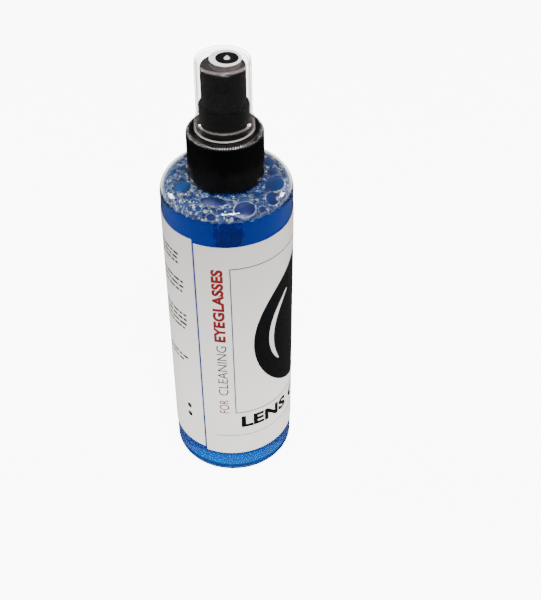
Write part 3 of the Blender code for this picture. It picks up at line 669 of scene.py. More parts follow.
def make_bottle():
    """The bottle's shell, outside and inside in one section, with its thread."""
    outside = softened(push_up(0.0) + [(BOTTLE_RADIUS - BASE_EDGE, 0.0)], 5)
    outside += arc(BOTTLE_RADIUS - BASE_EDGE, BASE_EDGE, BASE_EDGE, -90, 0, 8)[1:]
    outside += [(BOTTLE_RADIUS, height) for height in WALL_RINGS]
    outside += arc(BOTTLE_RADIUS - SHOULDER_CURVE, BODY_TOP, SHOULDER_CURVE, 0, SHOULDER_SLOPE, 16)
    outside += softened([(NECK_FOOT, SHOULDER_TOP - 0.0001), (NECK_RADIUS, SHOULDER_TOP, 0.0009),
                         (NECK_RADIUS, RIM, 0.0004), (NECK_BORE, RIM, 0.0004),
                         (NECK_BORE, SHOULDER_TOP - 0.0002, 0.0012),
                         (NECK_FOOT, SHOULDER_TOP - WALL - 0.0001)])
    corner = SHOULDER_CURVE - WALL
    outside += arc(BOTTLE_RADIUS - SHOULDER_CURVE, BODY_TOP, corner, SHOULDER_SLOPE, 0, 16)
    outside += [(BOTTLE_RADIUS - WALL, height) for height in WALL_RINGS[::-1]]
    edge = BASE_EDGE - WALL
    outside += arc(BOTTLE_RADIUS - BASE_EDGE, FLOOR + edge, edge, 0, -90, 8)
    outside += softened([(BOTTLE_RADIUS - BASE_EDGE - 0.0002, FLOOR)] + push_up(FLOOR)[::-1], 5)
    bottle = turned("bottle_shell", outside)
    start = RIM - THREAD_BELOW_RIM - THREAD_PITCH * THREAD_TURNS
    ridge = thread_ridge("bottle_thread", NECK_RADIUS + 0.00015, start, 0.0)
    bottle = joined("bottle_shell", [bottle, ridge])
    finish_piece(bottle, clear_plastic, "bottle", "clear_bottle", "bottle")
    bottle.data.materials.append(wetted_plastic)
    for face in bottle.data.polygons:
        axis = Vector((face.center.x, face.center.y, 0.0))
        inner_wall = face.normal.dot(axis) < -0.0001 * axis.length
        inner_floor = (face.normal.z > 0.5 and 0.0005 < face.center.z < 0.006
                       and axis.length < BOTTLE_RADIUS - WALL - 0.0001)
        if face.center.z < froth_high.z and (inner_wall or inner_floor):
            face.material_index = 1
    return bottle


def make_liquid():
    """The liquid, up to its level, with the wells that the pump and its tube stand in."""
    wall = WALL - FINE_GAP
    level = liquid_high.z
    corner = SHOULDER_CURVE - wall
    tube_end = tube_low.z + 0.0002
    section = [(0.0, tube_end), (TUBE_RADIUS - FINE_GAP, tube_end)]
    section += [(TUBE_RADIUS - FINE_GAP, housing_low.z), (TUBE_SOCKET - FINE_GAP, housing_low.z)]
    section += [(TUBE_SOCKET - FINE_GAP, SOCKET_TOP), (PUMP_CHAMBER - FINE_GAP, SOCKET_TOP)]
    section += [(PUMP_CHAMBER - FINE_GAP, CHAMBER_TOP), (PUMP_BARREL - FINE_GAP, CHAMBER_TOP)]
    # the level creeps up a little where it meets the pump and the wall
    section += [(PUMP_BARREL - FINE_GAP, level + 0.0006), (PUMP_BARREL + 0.0004, level + 0.0001),
                (PUMP_BARREL + 0.0014, level), (0.0205, level), (0.0218, level + 0.0001),
                (0.0226, level + 0.0004)]
    start = math.degrees(math.asin((level + 0.0010 - BODY_TOP) / corner))
    section += arc(BOTTLE_RADIUS - SHOULDER_CURVE, BODY_TOP, corner, start, 0, 4)
    section += [(BOTTLE_RADIUS - wall, height) for height in WALL_RINGS[::-1]]
    edge = BASE_EDGE - wall
    section += arc(BOTTLE_RADIUS - BASE_EDGE, FLOOR - FINE_GAP + edge, edge, 0, -90, 8)
    section += softened([(BOTTLE_RADIUS - BASE_EDGE - 0.0002, FLOOR - FINE_GAP)]
                        + push_up(FLOOR - FINE_GAP)[::-1], 5)
    liquid = turned("liquid_fill", section)
    return finish_piece(liquid, blue_liquid, "bottle", "blue_liquid", "cleaning_liquid")


# ---------------------------------------------------------------- froth



def froth_surface(travel):
    """Point and outward direction (both as radius, height) this far along the froth's outer skin,
    which starts at the liquid's edge, follows the shoulder and ends at the froth's inner edge."""
    start = math.asin((froth_low.z + 0.0004 - BODY_TOP) / FROTH_CURVE)
    stop = math.radians(SHOULDER_SLOPE)
    curve = FROTH_CURVE * (stop - start)
    angle = start + min(travel, curve) / FROTH_CURVE
    direction = Vector((math.cos(angle), math.sin(angle)))
    point = Vector((SHOULDER_CENTRE, BODY_TOP)) + direction * FROTH_CURVE
    if travel > curve:
        point += Vector((-1.0, 0.035)) * (travel - curve)
    return point, direction


def froth_place(degrees, travel):
    """Centre and outward direction, in space, of a place on the froth's skin."""
    (radius, height), (out, up) = froth_surface(travel)
    side = Vector((math.sin(math.radians(degrees)), -math.cos(math.radians(degrees)), 0.0))
    return side * radius + Vector((0.0, 0.0, height)), side * out + Vector((0.0, 0.0, up))


def sparse_side(degrees):
    """How far the froth has thinned here, from 0 to 1: mostly at the front right."""
    return math.exp(-((degrees - 50.0) / 38.0) ** 2)


def bubble_axes(degrees, out):
    """Axes of a bubble's place: round the bottle, up the skin, and outwards."""
    round_bottle = Vector((math.cos(math.radians(degrees)), math.sin(math.radians(degrees)), 0.0))
    up = out.cross(round_bottle).normalized()
    return Matrix((round_bottle, up, out)).transposed()


def dome_mesh(rings, facets, cut):
    """A bubble's dome, its crown at +Z."""
    deselect()
    bpy.ops.mesh.primitive_uv_sphere_add(segments=facets, ring_count=rings, radius=1.0)
    dome = named("bubble_pattern")
    bpy.ops.object.mode_set(mode="EDIT")
    bpy.ops.mesh.select_all(action="SELECT")
    bpy.ops.mesh.bisect(plane_co=(0.0, 0.0, cut), plane_no=(0.0, 0.0, 1.0), use_fill=True,
                        clear_inner=True)
    bpy.ops.object.mode_set(mode="OBJECT")
    return dome


def scatter(name, pattern, places):
    """Copies of one pattern in a single mesh; each place is a matrix, the share of film that shows
    at the crown, and a tint."""
    form = bmesh.new()
    film = form.verts.layers.float.new("film")
    tint = form.verts.layers.float.new("tint")
    base = [vertex.co.copy() for vertex in pattern.data.vertices]
    faces = [tuple(face.vertices) for face in pattern.data.polygons]
    for place, crown, shade_of_blue in places:
        made = []
        for point in base:
            vertex = form.verts.new(place @ point)
            # film value: pale towards the dome's edge, partly a painted reflection, and the crown's share at
            # its top
            level = max(0.0, min(1.0, (point.z - 0.38) / 0.44))
            vertex[film] = 1.0 - (1.0 - crown) * level
            vertex[tint] = shade_of_blue
            made.append(vertex)
        for face in faces:
            form.faces.new([made[index] for index in face])
    mesh = bpy.data.meshes.new(name)
    form.to_mesh(mesh)
    form.free()
    piece = bpy.data.objects.new(name, mesh)
    bpy.context.scene.collection.objects.link(piece)
    bpy.data.objects.remove(pattern)
    shade(piece, 60.0)
    return piece


STEPS = [(x, y, z) for x in (-1, 0, 1) for y in (-1, 0, 1) for z in (-1, 0, 1)]


def make_froth():
    """Foam under the shoulder, a few large bubbles in chosen places, and small ones packed between."""
    chance = random.Random(24)
    # the froth's body: foam under the shoulder
    stations = [froth_surface(travel) for travel in
                (0.0, 0.0006, 0.0013, 0.0020, 0.0028, 0.0036, 0.0044, 0.0052, 0.0060, 0.0068, 0.0076)]
    section = [tuple(point - direction * 0.00045) for point, direction in stations]
    section += [(0.0160, froth_high.z - 0.0001), (FROTH_INNER + 0.0006, froth_high.z - 0.0001),
                (FROTH_INNER, froth_high.z - 0.0012),
                (FROTH_INNER + 0.0010, froth_low.z + 0.0004), (FROTH_INNER + 0.0020, froth_low.z)]
    section += [(BOTTLE_RADIUS - WALL - 0.0012, froth_low.z), section[0]]
    body = turned("froth_body", section)
    attribute = body.data.attributes.new("film", "FLOAT", "POINT")
    attribute.data.foreach_set("value", [0.66 - 0.45 * sparse_side(math.degrees(
        math.atan2(vertex.co.x, -vertex.co.y))) for vertex in body.data.vertices])
    body.data.attributes.new("tint", "FLOAT", "POINT")
    finish_piece(body, froth_films, "bottle", "froth", "froth")

    # where the large bubbles sit
    large = []
    for degrees, distance, size, stretch, flat, tint in LARGE_BUBBLES:
        travel = min((abs(froth_surface(t / 10000.0)[0][0] - distance), t / 10000.0)
                     for t in range(0, 130))[1]
        centre, out = froth_place(degrees, travel)
        axes = bubble_axes(degrees, out)
        large.append((centre, out, axes, (size * stretch, size, size * flat), tint))

    # small bubbles packed over the skin
    skin, grid = [], {}
    for attempt in range(TRIES):
        travel = chance.uniform(0.0, FROTH_REACH)
        degrees = chance.uniform(-180.0, 180.0)
        size = 0.00026 + 0.00080 * chance.random() ** (1.4 + attempt / 9000.0)
        centre, out = froth_place(degrees, travel)
        if any(((centre - place).dot(axes.col[0]) / (sizes[0] + size * 0.4)) ** 2
               + ((centre - place).dot(axes.col[1]) / (sizes[1] + size * 0.4)) ** 2 < 1.0
               and (centre - place).length < 0.008 for place, _, axes, sizes, _ in large):
            continue
        key = tuple(int(math.floor(c / GRID)) for c in centre)
        near = [bubble for step in STEPS for bubble in grid.get(tuple(map(sum, zip(key, step))), ())]
        if any((other - centre).length < (radius + size) * 0.80 for other, radius in near):
            continue
        grid.setdefault(key, []).append((centre, size))
        skin.append((centre, out, size, degrees))
    places = []
    for centre, out, size, degrees in skin:
        turn = out.to_track_quat("Z", "X").to_matrix().to_4x4()
        scale = Matrix.Diagonal((size, size, size * 0.75, 1.0))
        depth = size * 0.75
        left = max(0.0, -math.sin(math.radians(degrees)))
        sparse = sparse_side(degrees)
        crown = chance.uniform(0.0, 0.25) + 0.20 * left * chance.random()
        if chance.random() < 0.26 - 0.20 * sparse:
            crown = chance.uniform(0.7, 1.2)
        depth += size * chance.uniform(-0.1, 0.5)
        tint = min(1.0, max(0.0, chance.uniform(-0.2, 0.7) + 0.3 * left))
        places.append((Matrix.Translation(centre - out * depth) @ turn @ scale, crown, tint))
    small = scatter("froth_small_bubbles", dome_mesh(6, 9, -0.15), places)
    finish_piece(small, froth_films, "bottle", "froth")

    places = []
    for centre, out, axes, sizes, tint in large:
        scale = Matrix.Diagonal((*sizes, 1.0))
        places.append((Matrix.Translation(centre - out * sizes[2]) @ axes.to_4x4() @ scale, 0.0, tint))
    big = scatter("froth_large_bubbles", dome_mesh(24, 36, -0.05), places)
    finish_piece(big, froth_films, "bottle", "froth")


# ---------------------------------------------------------------- label and its print


def wrapped(piece, radius):
    """Roll a flat piece, laid out in X (round the bottle) and Z, on to the bottle, a little askew."""
    for vertex in piece.data.vertices:
        ahead, depth, height = vertex.co
        turned_ahead = ahead * math.cos(LABEL_TILT) - (height - LABEL_MIDDLE) * math.sin(LABEL_TILT)
        turned_height = height + ahead * math.sin(LABEL_TILT)
        angle = turned_ahead / LABEL_RADIUS
        vertex.co = Vector(((radius - depth) * math.sin(angle), -(radius - depth) * math.cos(angle),
                            turned_height))


def along(degrees):
    """Distance round the label from its front, for an angle in degrees."""
    return math.radians(degrees) * LABEL_RADIUS


def flat_sheet(name, start, end, bottom, top, step=0.0011):
    """A flat rectangle in X and Z, divided along X so that it can be rolled."""
    deselect()
    columns = max(1, math.ceil((end - start) / step))
    bpy.ops.mesh.primitive_grid_add(x_subdivisions=columns, y_subdivisions=1, size=1.0)
    sheet = named(name)
    bpy.ops.object.mode_set(mode="EDIT")
    bpy.ops.mesh.select_all(action="SELECT")
    bpy.ops.transform.resize(value=(end - start, top - bottom, 1.0), center_override=(0.0, 0.0, 0.0))
    bpy.ops.object.mode_set(mode="OBJECT")
    sheet.data.transform(Matrix.Translation(((start + end) / 2, 0.0, (bottom + top) / 2))
                         @ Matrix.Rotation(math.pi / 2, 4, "X"))
    return sheet


def sliced(piece, step=0.0010):
    """Cut a flat outline into narrow strips along X, so that it can be rolled."""
    choose(piece)
    low = min(vertex.co.x for vertex in piece.data.vertices)
    high = max(vertex.co.x for vertex in piece.data.vertices)
    bpy.ops.object.mode_set(mode="EDIT")
    cut = low + step
    while cut < high:
        bpy.ops.mesh.select_all(action="SELECT")
        bpy.ops.mesh.bisect(plane_co=(cut, 0.0, 0.0), plane_no=(1.0, 0.0, 0.0))
        cut += step
    bpy.ops.object.mode_set(mode="OBJECT")


def inked(name, pieces, material):
    """Roll the flat pieces of one print on to the label and give the ink its thickness."""
    piece = joined(name, pieces)
    wrapped(piece, LABEL_RADIUS + INK)
    apply_modifier(piece, "SOLIDIFY", thickness=INK + INK_SINK, offset=-1.0)
    choose(piece)
    bpy.ops.object.mode_set(mode="EDIT")
    bpy.ops.mesh.select_all(action="SELECT")
    bpy.ops.mesh.remove_doubles(threshold=0.0000005)
    bpy.ops.object.mode_set(mode="OBJECT")
    shade(piece, 40.0)
    return finish_piece(piece, material, "bottle", "label_film")


def words(text, low, high, base, capitals, upright=False, heavy=0.0):
    """Flat lettering in X and Z.  It runs from low to high along its reading direction, on a base
    line, with capitals this tall; upright lettering reads upwards."""
    deselect()
    bpy.ops.object.text_add()
    piece = bpy.context.object
    piece.data.body = text
    piece.data.size = 1.0
    piece.data.offset = heavy
    piece.data.space_character = 1.0 + heavy
    piece.data.resolution_u = 4
    bpy.ops.object.convert(target="MESH")
    piece = bpy.context.object
    box = [vertex.co for vertex in piece.data.vertices]
    left, right = min(v.x for v in box), max(v.x for v in box)
    bottom, ceiling = min(v.y for v in box), max(v.y for v in box)
    place = Matrix.Diagonal(((high - low) / (right - left), capitals / (ceiling - bottom), 1.0, 1.0))
    place = place @ Matrix.Translation((-left, -bottom, 0.0))
    piece.data.transform(place)
    for vertex in piece.data.vertices:
        ahead, across = vertex.co.xy
        vertex.co = (base - across, 0.0, low + ahead) if upright else (low + ahead, 0.0, base + across)
    sliced(piece)
    return piece


def print_lines(start, end, top, rows, pitch, chance, height=0.0010):
    """Rows of short bars that stand for small print, in a block that starts at the top left."""
    bars = []
    for row in range(rows):
        level = top - row * pitch
        at, stop = along(start), along(end)
        if row == rows - 1:
            stop -= chance.uniform(0.0, 0.35) * (stop - at)
        while at < stop - 0.0008:
            length = min(chance.uniform(0.0014, 0.0048), stop - at)
            bars.append(flat_sheet("bar", at, at + length, level - height, level))
            at += length + 0.0006
    return bars


def crescent_outline(name, centre, height, outer, inner, start, end, steps=96):
    """A flat crescent round a centre on the label, between two radii and two angles."""
    deselect()
    bpy.ops.mesh.primitive_circle_add(vertices=4, radius=0.001)
    piece = named(name)
    form = bmesh.new()
    rows = []
    for step in range(steps + 1):
        angle = math.radians(start + (end - start) * step / steps)
        share = math.sin(math.pi * step / steps) ** 0.5
        middle, half = (outer + inner) / 2, (outer - inner) / 2 * max(share, 0.04)
        rows.append([form.verts.new((centre + r * math.cos(angle), 0.0, height + r * math.sin(angle)))
                     for r in (middle - half, middle + half)])
    for first, second in zip(rows, rows[1:]):
        form.faces.new((first[0], first[1], second[1], second[0]))
    form.to_mesh(piece.data)
    form.free()
    return piece


def drop_outline(name, centre, height, radius, tip, steps=72):
    """A flat water drop: a round foot and a point above it."""
    deselect()
    bpy.ops.mesh.primitive_circle_add(vertices=steps, radius=radius, fill_type="NGON")
    piece = named(name)
    lean = math.acos(radius / tip)
    for vertex in piece.data.vertices:
        angle = math.atan2(vertex.co.y, vertex.co.x)
        off = abs(angle - math.pi / 2) if angle > -math.pi / 2 else abs(angle + 1.5 * math.pi)
        if off < lean:
            reach = radius / math.cos(lean - off) if lean - off < 1.5 else tip
            reach = min(reach, tip)
            vertex.co = Vector((reach * math.cos(angle), reach * math.sin(angle), 0.0))
    piece.data.transform(Matrix.Translation((centre, 0.0, height)) @ Matrix.Rotation(math.pi / 2, 4, "X"))
    return piece


def make_label():
    """The wrapped film and everything that is printed on it."""
    chance = random.Random(7)
    sheet = flat_sheet("label_sheet", along(LABEL_SEAM) + SEAM_GAP, along(LABEL_SEAM + 360.0) - SEAM_GAP,
                       label_low.z, label_high.z, step=0.0012)
    wrapped(sheet, LABEL_RADIUS)
    apply_modifier(sheet, "SOLIDIFY", thickness=FILM, offset=-1.0)
    shade(sheet, 40.0)
    finish_piece(sheet, label_film, "bottle", "label_film", "wrap_label")
    sheet.data.materials.append(label_inside)
    for face in sheet.data.polygons:
        axis = Vector((face.center.x, face.center.y, 0.0))
        if face.normal.dot(axis) < -0.5 * axis.length:
            face.material_index = 1

    # title that reads upwards, in three weights
    base = along(TITLE_BASE)
    for name, text, low, high, capitals, heavy, ink in (
            ("label_title_light", "FOR", 0.0360, 0.0436, TITLE_CAPITALS, 0.0, red_ink),
            ("label_title_grey", "CLEANING", 0.0462, 0.0732, TITLE_CAPITALS, 0.0, grey_ink),
            ("label_title_bold", "EYEGLASSES", 0.0752, 0.1108, TITLE_CAPITALS + 0.0006, 0.05, red_ink)):
        inked(name, [words(text, low, high, base, capitals, upright=True, heavy=heavy)], ink)

    # frame round the picture, with a rule under it
    left, right, line = along(FRAME_LEFT), along(FRAME_RIGHT), FRAME_LINE
    inner_left, inner_right = left + line + INK, right - line - INK
    inked("label_frame", [flat_sheet("bar", left, left + line, FRAME_LOW, FRAME_HIGH),
                          flat_sheet("bar", right - line, right, FRAME_LOW, FRAME_HIGH),
                          flat_sheet("bar", inner_left, inner_right, FRAME_HIGH - line, FRAME_HIGH),
                          flat_sheet("bar", inner_left, inner_right, FRAME_LOW, FRAME_LOW + line)], grey_ink)
    inked("label_rule", [flat_sheet("bar", along(-15.0), right, 0.0224, 0.0227)], pale_ink)

    # large drop in the frame, with a light streak on it
    drop = drop_outline("drop", along(DROP_AT), DROP_LEVEL, 0.0325, 0.0386)
    sliced(drop)
    inked("label_drop", [drop], black_ink)
    streak = crescent_outline("label_drop_streak", along(DROP_AT), DROP_LEVEL, 0.0258, 0.0234, 128.0, 212.0)
    sliced(streak, 0.0007)
    wrapped(streak, LABEL_RADIUS + 3 * INK)
    apply_modifier(streak, "SOLIDIFY", thickness=1.5 * INK, offset=-1.0)
    shade(streak, 40.0)
    finish_piece(streak, white_ink, "bottle", "label_film")

    inked("label_words", [words("LENS CLEANER", along(9.0), along(172.0), 0.0272, 0.0065, heavy=0.045)],
          black_ink)

    # small print
    bars = []
    for start, end, top, rows, pitch in (
            (-80.0, -45.0, 0.1128, 3, 0.0021), (-76.0, -41.0, 0.1004, 3, 0.0024),
            (-76.0, -40.0, 0.0840, 4, 0.0023), (-74.0, -39.0, 0.0614, 2, 0.0022),
            (-158.0, -84.0, 0.1110, 9, 0.0019), (-158.0, -84.0, 0.0890, 7, 0.0019),
            (-158.0, -100.0, 0.0700, 5, 0.0019), (-158.0, -84.0, 0.0545, 10, 0.0019)):
        bars += print_lines(start, end, top, rows, pitch, chance)
    inked("label_small_print", bars, black_ink)
    inked("label_dots", [drop_outline("dot", along(-45.0), height, 0.0012, 0.00121, steps=24)
                         for height in (0.0337, 0.0289)], black_ink)


# ---------------------------------------------------------------- closure


def make_closure():
    """The ribbed collar with its roof, its turret and its inner thread."""
    rib_bottom = CLOSURE_BOTTOM + BAND
    rib_fade = CHAMFER * 0.90
    rings = (rib_bottom + 0.0003, 0.145, 0.150, ROOF - CHAMFER - 0.0003)
    bead_top = ROOF + 0.0030
    section = softened([(CLOSURE_BORE, BORE_SEAM), (CLOSURE_BORE, CLOSURE_BOTTOM, 0.0002),
                        (CLOSURE_RADIUS - 0.0001, CLOSURE_BOTTOM, 0.0004),
                        (CLOSURE_RADIUS, CLOSURE_BOTTOM + 0.0008, 0.0005),
                        (CLOSURE_RADIUS - 0.00012, rib_bottom, 0.0002)])
    section += [(CLOSURE_RADIUS, height) for height in rings]
    section += [(CLOSURE_RADIUS - 0.00008, ROOF - CHAMFER),
                (CLOSURE_RADIUS - 0.00030, ROOF - CHAMFER + 0.00034),
                (CLOSURE_RADIUS - 0.00065, ROOF - CHAMFER + 0.0007),
                (CLOSURE_RADIUS - rib_fade - 0.00008, ROOF - CHAMFER + rib_fade)]
    section += softened([(CLOSURE_RADIUS - rib_fade - 0.00014, ROOF - CHAMFER + rib_fade + 0.00008),
                         (CLOSURE_RADIUS - CHAMFER - 0.0001, ROOF, 0.0001), (ROOF_GROOVE_END, ROOF),
                         (TURRET_RADIUS, ROOF, 0.0003),
                         (TURRET_RADIUS, bead_top - 0.0022, 0.0002),
                         (TURRET_RADIUS + 0.0007, bead_top - 0.0017, 0.0004),
                         (TURRET_RADIUS + 0.0007, bead_top - 0.0007, 0.0004),
                         (TURRET_RADIUS, bead_top, 0.0003), (TURRET_RADIUS, TURRET_TOP, 0.0003),
                         (TURRET_BORE, TURRET_TOP, 0.0003), (TURRET_BORE, ROOF, 0.0002),
                         (STEM_HOLE, ROOF, 0.0002), (STEM_HOLE, ROOF_UNDERSIDE, 0.0002),
                         (CLOSURE_BORE, ROOF_UNDERSIDE, 0.0003), (CLOSURE_BORE, BORE_SEAM)])
    facets = RIBS * 6
    closure = turned("closure_collar", section, facets=facets, angle=24.0)

    # press the grooves between the ribs: every sixth line deepest, its neighbours part way
    choose(closure)
    bpy.ops.object.mode_set(mode="EDIT")
    for offsets, depth in (((0,), 1.0), ((1, 5), 0.72), ((2, 4), 0.16)):
        def in_groove(place):
            radius = math.hypot(place.x, place.y)
            if radius < CLOSURE_RADIUS - CHAMFER - 0.0004 or place.z < rib_bottom + 0.0001:
                return False
            line = round(math.atan2(place.y, place.x) / math.tau * facets) % 6
            return line in offsets
        pick(closure, in_groove)
        scale = 1.0 - RIB_DEPTH * depth / CLOSURE_RADIUS
        bpy.ops.transform.resize(value=(scale, scale, 1.0), center_override=(0.0, 0.0, ROOF))
        pick(closure, lambda place: place.z > ROOF - CHAMFER + 0.0002 and in_groove(place))
        bpy.ops.transform.translate(value=(0.0, 0.0, -ROOF_GROOVE * depth))
    bpy.ops.mesh.select_all(action="SELECT")
    bpy.ops.mesh.normals_make_consistent(inside=False)
    bpy.ops.object.mode_set(mode="OBJECT")
    shade(closure, 50.0)
    start = RIM - THREAD_BELOW_RIM - THREAD_PITCH * THREAD_TURNS - THREAD_PITCH / 2
    ridge = thread_ridge("closure_thread", CLOSURE_BORE - 0.0001, start, -0.2)
    closure = joined("closure_collar", [closure, ridge])
    return finish_piece(closure, black_closure, "closure", "black_plastic", "closure")


# ---------------------------------------------------------------- actuator and nozzle


def make_actuator():
    """The press-down button, bored for its nozzle, and the nozzle."""
    top, bottom = actuator_high.z, actuator_low.z
    crown = top - CROWN_DEPTH
    radius = ACTUATOR_RADIUS
    skirt = radius - ACTUATOR_SKIRT
    nozzle = 0.5 * (nozzle_low.z + nozzle_high.z)
    section = softened([(0.0, top - 0.0001), (0.0030, top - 0.0001, 0.001), (0.0058, top, 0.001),
                        (radius - 0.0001, top, 0.0007), (radius - 0.00003, nozzle + NOZZLE_LAND),
                        (radius - 0.00001, nozzle - NOZZLE_LAND), (radius, bottom, 0.0002),
                        (skirt, bottom, 0.0002), (skirt, crown, 0.0003), (STEM_SOCKET, crown, 0.0003),
                        (STEM_SOCKET, bottom, 0.0002), (STEM_BORE, bottom, 0.0002),
                        (STEM_BORE, crown + 0.0012), (0.0, crown + 0.0012)], 6)
    button = turned("actuator_button", section, facets=160)
    for bore, depth, at in ((0.0021, 0.0027, -radius + 0.0009), (0.0024, 0.0005, -radius)):
        deselect()
        bpy.ops.mesh.primitive_cylinder_add(vertices=64, radius=bore, depth=2 * depth,
                                            rotation=(math.pi / 2, 0.0, 0.0), location=(0.0, at, nozzle))
        cutter = named("nozzle_bore")
        apply_modifier(button, "BOOLEAN", operation="DIFFERENCE", solver="EXACT", object=cutter)
        bpy.data.objects.remove(cutter)
    shade(button, 28.0)
    finish_piece(button, black_satin, "actuator", "black_satin", "actuator")

    length = nozzle_high.y - nozzle_low.y
    cup = turned("mist_nozzle", softened([(SPRAY_HOLE, length - 0.0009), (SPRAY_HOLE, length, 0.00008),
                                          (0.0009, length, 0.0001), (0.0011, length - 0.00022, 0.0001),
                                          (NOZZLE_RADIUS, length - 0.00018, 0.00015),
                                          (NOZZLE_RADIUS, 0.0, 0.0001), (0.0011, 0.0, 0.0001),
                                          (0.0011, length - 0.0009), (SPRAY_HOLE, length - 0.0009)]),
                 facets=64)
    cup.data.transform(Matrix.Translation((0.0, nozzle_high.y, nozzle))
                       @ Matrix.Rotation(math.pi / 2, 4, "X"))
    finish_piece(cup, black_satin, "actuator", "black_satin", "nozzle_insert")


# ---------------------------------------------------------------- overcap


def make_overcap():
    """The clear cap, and the sticker on it with its printed spot and drop."""
    wall, top, bottom = OVERCAP_WALL, overcap_high.z, overcap_low.z
    edge, step = OVERCAP_EDGE, bottom + OVERCAP_FLARE
    waist, rim = OVERCAP_WAIST, OVERCAP_RIM
    outside = [(0.0, top)] + arc(waist - 0.00016 - edge, top - edge, edge, 90, 0, 7)
    outside += softened([(waist - 0.00010, top - 0.006), (waist, step + 0.0010, 0.0004),
                         (rim - 0.00013, step, 0.0005), (rim, bottom, 0.0003), (rim - wall, bottom, 0.0003),
                         (rim - wall, step, 0.0005), (waist - wall, step + 0.0010, 0.0004),
                         (waist - wall - 0.0001, top - 0.006)], 5)
    inner_top = top - 0.0009
    soft = 0.0006
    outside += arc(waist - 0.00016 - wall - soft, inner_top - soft, soft, 0, 90, 6) + [(0.0, inner_top)]
    shell = turned("overcap_shell", outside, facets=160)
    finish_piece(shell, clear_cap, "overcap", "clear_overcap", "overcap")

    middle = 0.5 * (sticker_low + sticker_high)
    radius = 0.5 * (sticker_high.x - sticker_low.x)
    bottom, top = sticker_low.z, sticker_high.z
    disc = turned("top_sticker", softened([(0.0, bottom), (radius, bottom, 0.00003), (radius, top, 0.00005),
                                           (radius * 0.5, top, 0.0), (0.0, top)], 3), facets=96)
    disc.data.transform(Matrix.Translation((middle.x, middle.y, 0.0)))
    finish_piece(disc, sticker_paper, "overcap", "sticker_paper", "overcap_sticker")

    print_top = INK + INK_SINK
    spot = turned("sticker_spot", [(0.0, 0.0), (SPOT_RADIUS, 0.0), (SPOT_RADIUS, print_top),
                                   (0.0, print_top)], facets=80)
    spot.data.transform(Matrix.Translation((middle.x + SPOT_SHIFT, middle.y, top - INK_SINK)))
    finish_piece(spot, black_ink, "overcap", "sticker_paper")
    drop = drop_outline("sticker_drop", 0.0, 0.0, 0.00105, 0.0021, steps=48)
    drop.data.transform(Matrix.Rotation(-math.pi / 2, 4, "X"))
    drop.data.transform(Matrix.Translation((middle.x + SPOT_SHIFT, middle.y - 0.0003, top + 2 * INK)))
    apply_modifier(drop, "SOLIDIFY", thickness=INK * 1.5, offset=-1.0)
    finish_piece(drop, white_ink, "overcap", "sticker_paper")


make_bottle()
make_liquid()
make_froth()
make_label()
make_closure()
make_actuator()
make_overcap()

# ---------------------------------------------------------------- springs


def make_coil(name, node, body):
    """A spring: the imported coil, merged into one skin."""
    deselect()
    piece = bpy.data.objects.new(name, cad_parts[node].data.copy())
    bpy.context.scene.collection.objects.link(piece)
    choose(piece)
    bpy.ops.object.mode_set(mode="EDIT")
    weld()
    bpy.ops.object.mode_set(mode="OBJECT")
    shade(named(name), 60.0)
    finish_piece(piece, spring_steel, body, "spring_steel", node)
    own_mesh(piece)


make_coil("return_coil", "return_spring", "pump")
make_coil("preload_coil", "preload_spring", "stem")

# ---------------------------------------------------------------- finishes of the pieces that stay

for node, material in {"pump_housing": blue_below_level_plastic, "retainer_ring": natural_plastic,
                       "bottle_gasket": seal_foam, "stem_seal": seal_rubber, "stem": natural_plastic,
                       "poppet": natural_plastic, "piston": piston_plastic, "check_ball": ball_steel,
                       "dip_tube": tube_plastic}.items():
    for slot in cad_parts[node].material_slots:
        slot.material = material

# ---------------------------------------------------------------- floor, light and camera


def make_floor(name, level, glow, seen):
    """A wide pale floor that glows like a light table.  One floor is seen and the other lights the
    bottle; neither is mirrored in the glossy pieces."""
    deselect()
    bpy.ops.mesh.primitive_plane_add(size=6.0, location=(0.0, 0.0, level))
    floor = named(name)
    finish = Finish(name + "_finish", specular=0.1, roughness=0.9)
    cloud = finish.noise(3.0, 2.0)
    finish.set(base_color=finish.blend(cloud, (0.87, 0.87, 0.87), (0.89, 0.89, 0.89)),
               emission_color=(1.0, 1.0, 1.0), emission_strength=glow)
    floor.data.materials.append(finish.material)
    floor.visible_glossy = False
    floor.visible_camera = seen
    floor.visible_diffuse = floor.visible_transmission = not seen


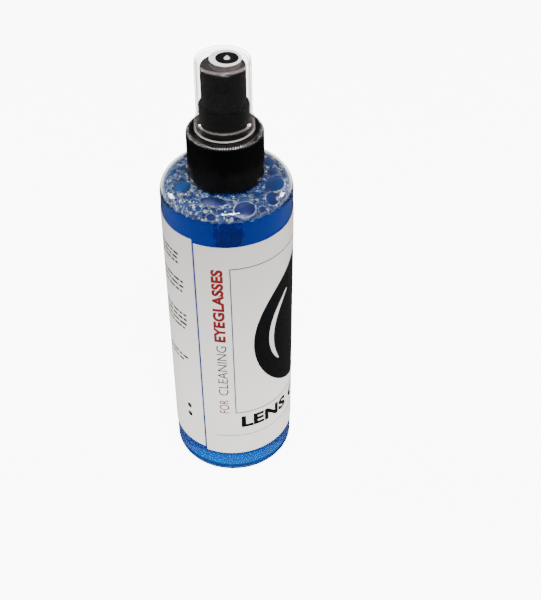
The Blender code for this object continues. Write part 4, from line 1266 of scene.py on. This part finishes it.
def make_backdrop():
    """A round pale wall behind everything, for the low views."""
    deselect()
    bpy.ops.mesh.primitive_cylinder_add(vertices=96, radius=BACKDROP_RADIUS, depth=5.0,
                                        end_fill_type="NOTHING",
                                        location=(0.0, 0.0, 2.4))
    wall = named("studio_backdrop")
    finish = Finish("pale_backdrop", specular=0.1, roughness=0.9)
    finish.set(base_color=finish.blend(finish.noise(2.0, 2.0), (0.87, 0.87, 0.87), (0.89, 0.89, 0.89)),
               emission_color=(1.0, 1.0, 1.0), emission_strength=SEEN_GLOW)
    wall.data.materials.append(finish.material)
    wall.visible_glossy = wall.visible_diffuse = wall.visible_transmission = False


def soft_box(name, place, target, width, height, power, colour=(1.0, 1.0, 1.0)):
    """A rectangular lamp that faces a point on the bottle."""
    light = bpy.data.lights.new(name, "AREA")
    light.shape = "RECTANGLE"
    light.size, light.size_y = width, height
    light.energy = power
    light.color = colour
    lamp = bpy.data.objects.new(name, light)
    lamp.location = place
    lamp.rotation_euler = (Vector(target) - Vector(place)).to_track_quat("-Z", "Y").to_euler()
    bpy.context.scene.collection.objects.link(lamp)


make_floor("studio_floor", -0.0001, SEEN_GLOW, True)
make_floor("studio_light_table", -0.0002, TABLE_GLOW, False)
make_backdrop()
soft_box("key_soft_box", (0.075, -0.45, 0.93), (0.0, 0.0, 0.13), 0.36, 0.12, 14.0)
soft_box("left_strip", (-0.75, 0.28, 0.46), (0.0, 0.0, 0.14), 0.16, 0.24, 6.0)
soft_box("right_strip", (0.75, 0.30, 0.44), (0.0, 0.0, 0.14), 0.14, 0.24, 6.0, (1.0, 0.95, 0.90))

world = bpy.data.worlds.new("studio")
bpy.context.scene.world = world
world.use_nodes = True
world.node_tree.nodes["Background"].inputs["Color"].default_value = (1.0, 1.0, 1.0, 1.0)
world.node_tree.nodes["Background"].inputs["Strength"].default_value = 0.10

camera_data = bpy.data.cameras.new("camera")
camera_data.lens = 66.85
camera = bpy.data.objects.new("camera", camera_data)
camera.location = (0.0157, -0.3233, 0.3664)
camera.rotation_euler = Euler((math.radians(47.96), 0.0, 0.0))
bpy.context.scene.collection.objects.link(camera)
bpy.context.scene.camera = camera
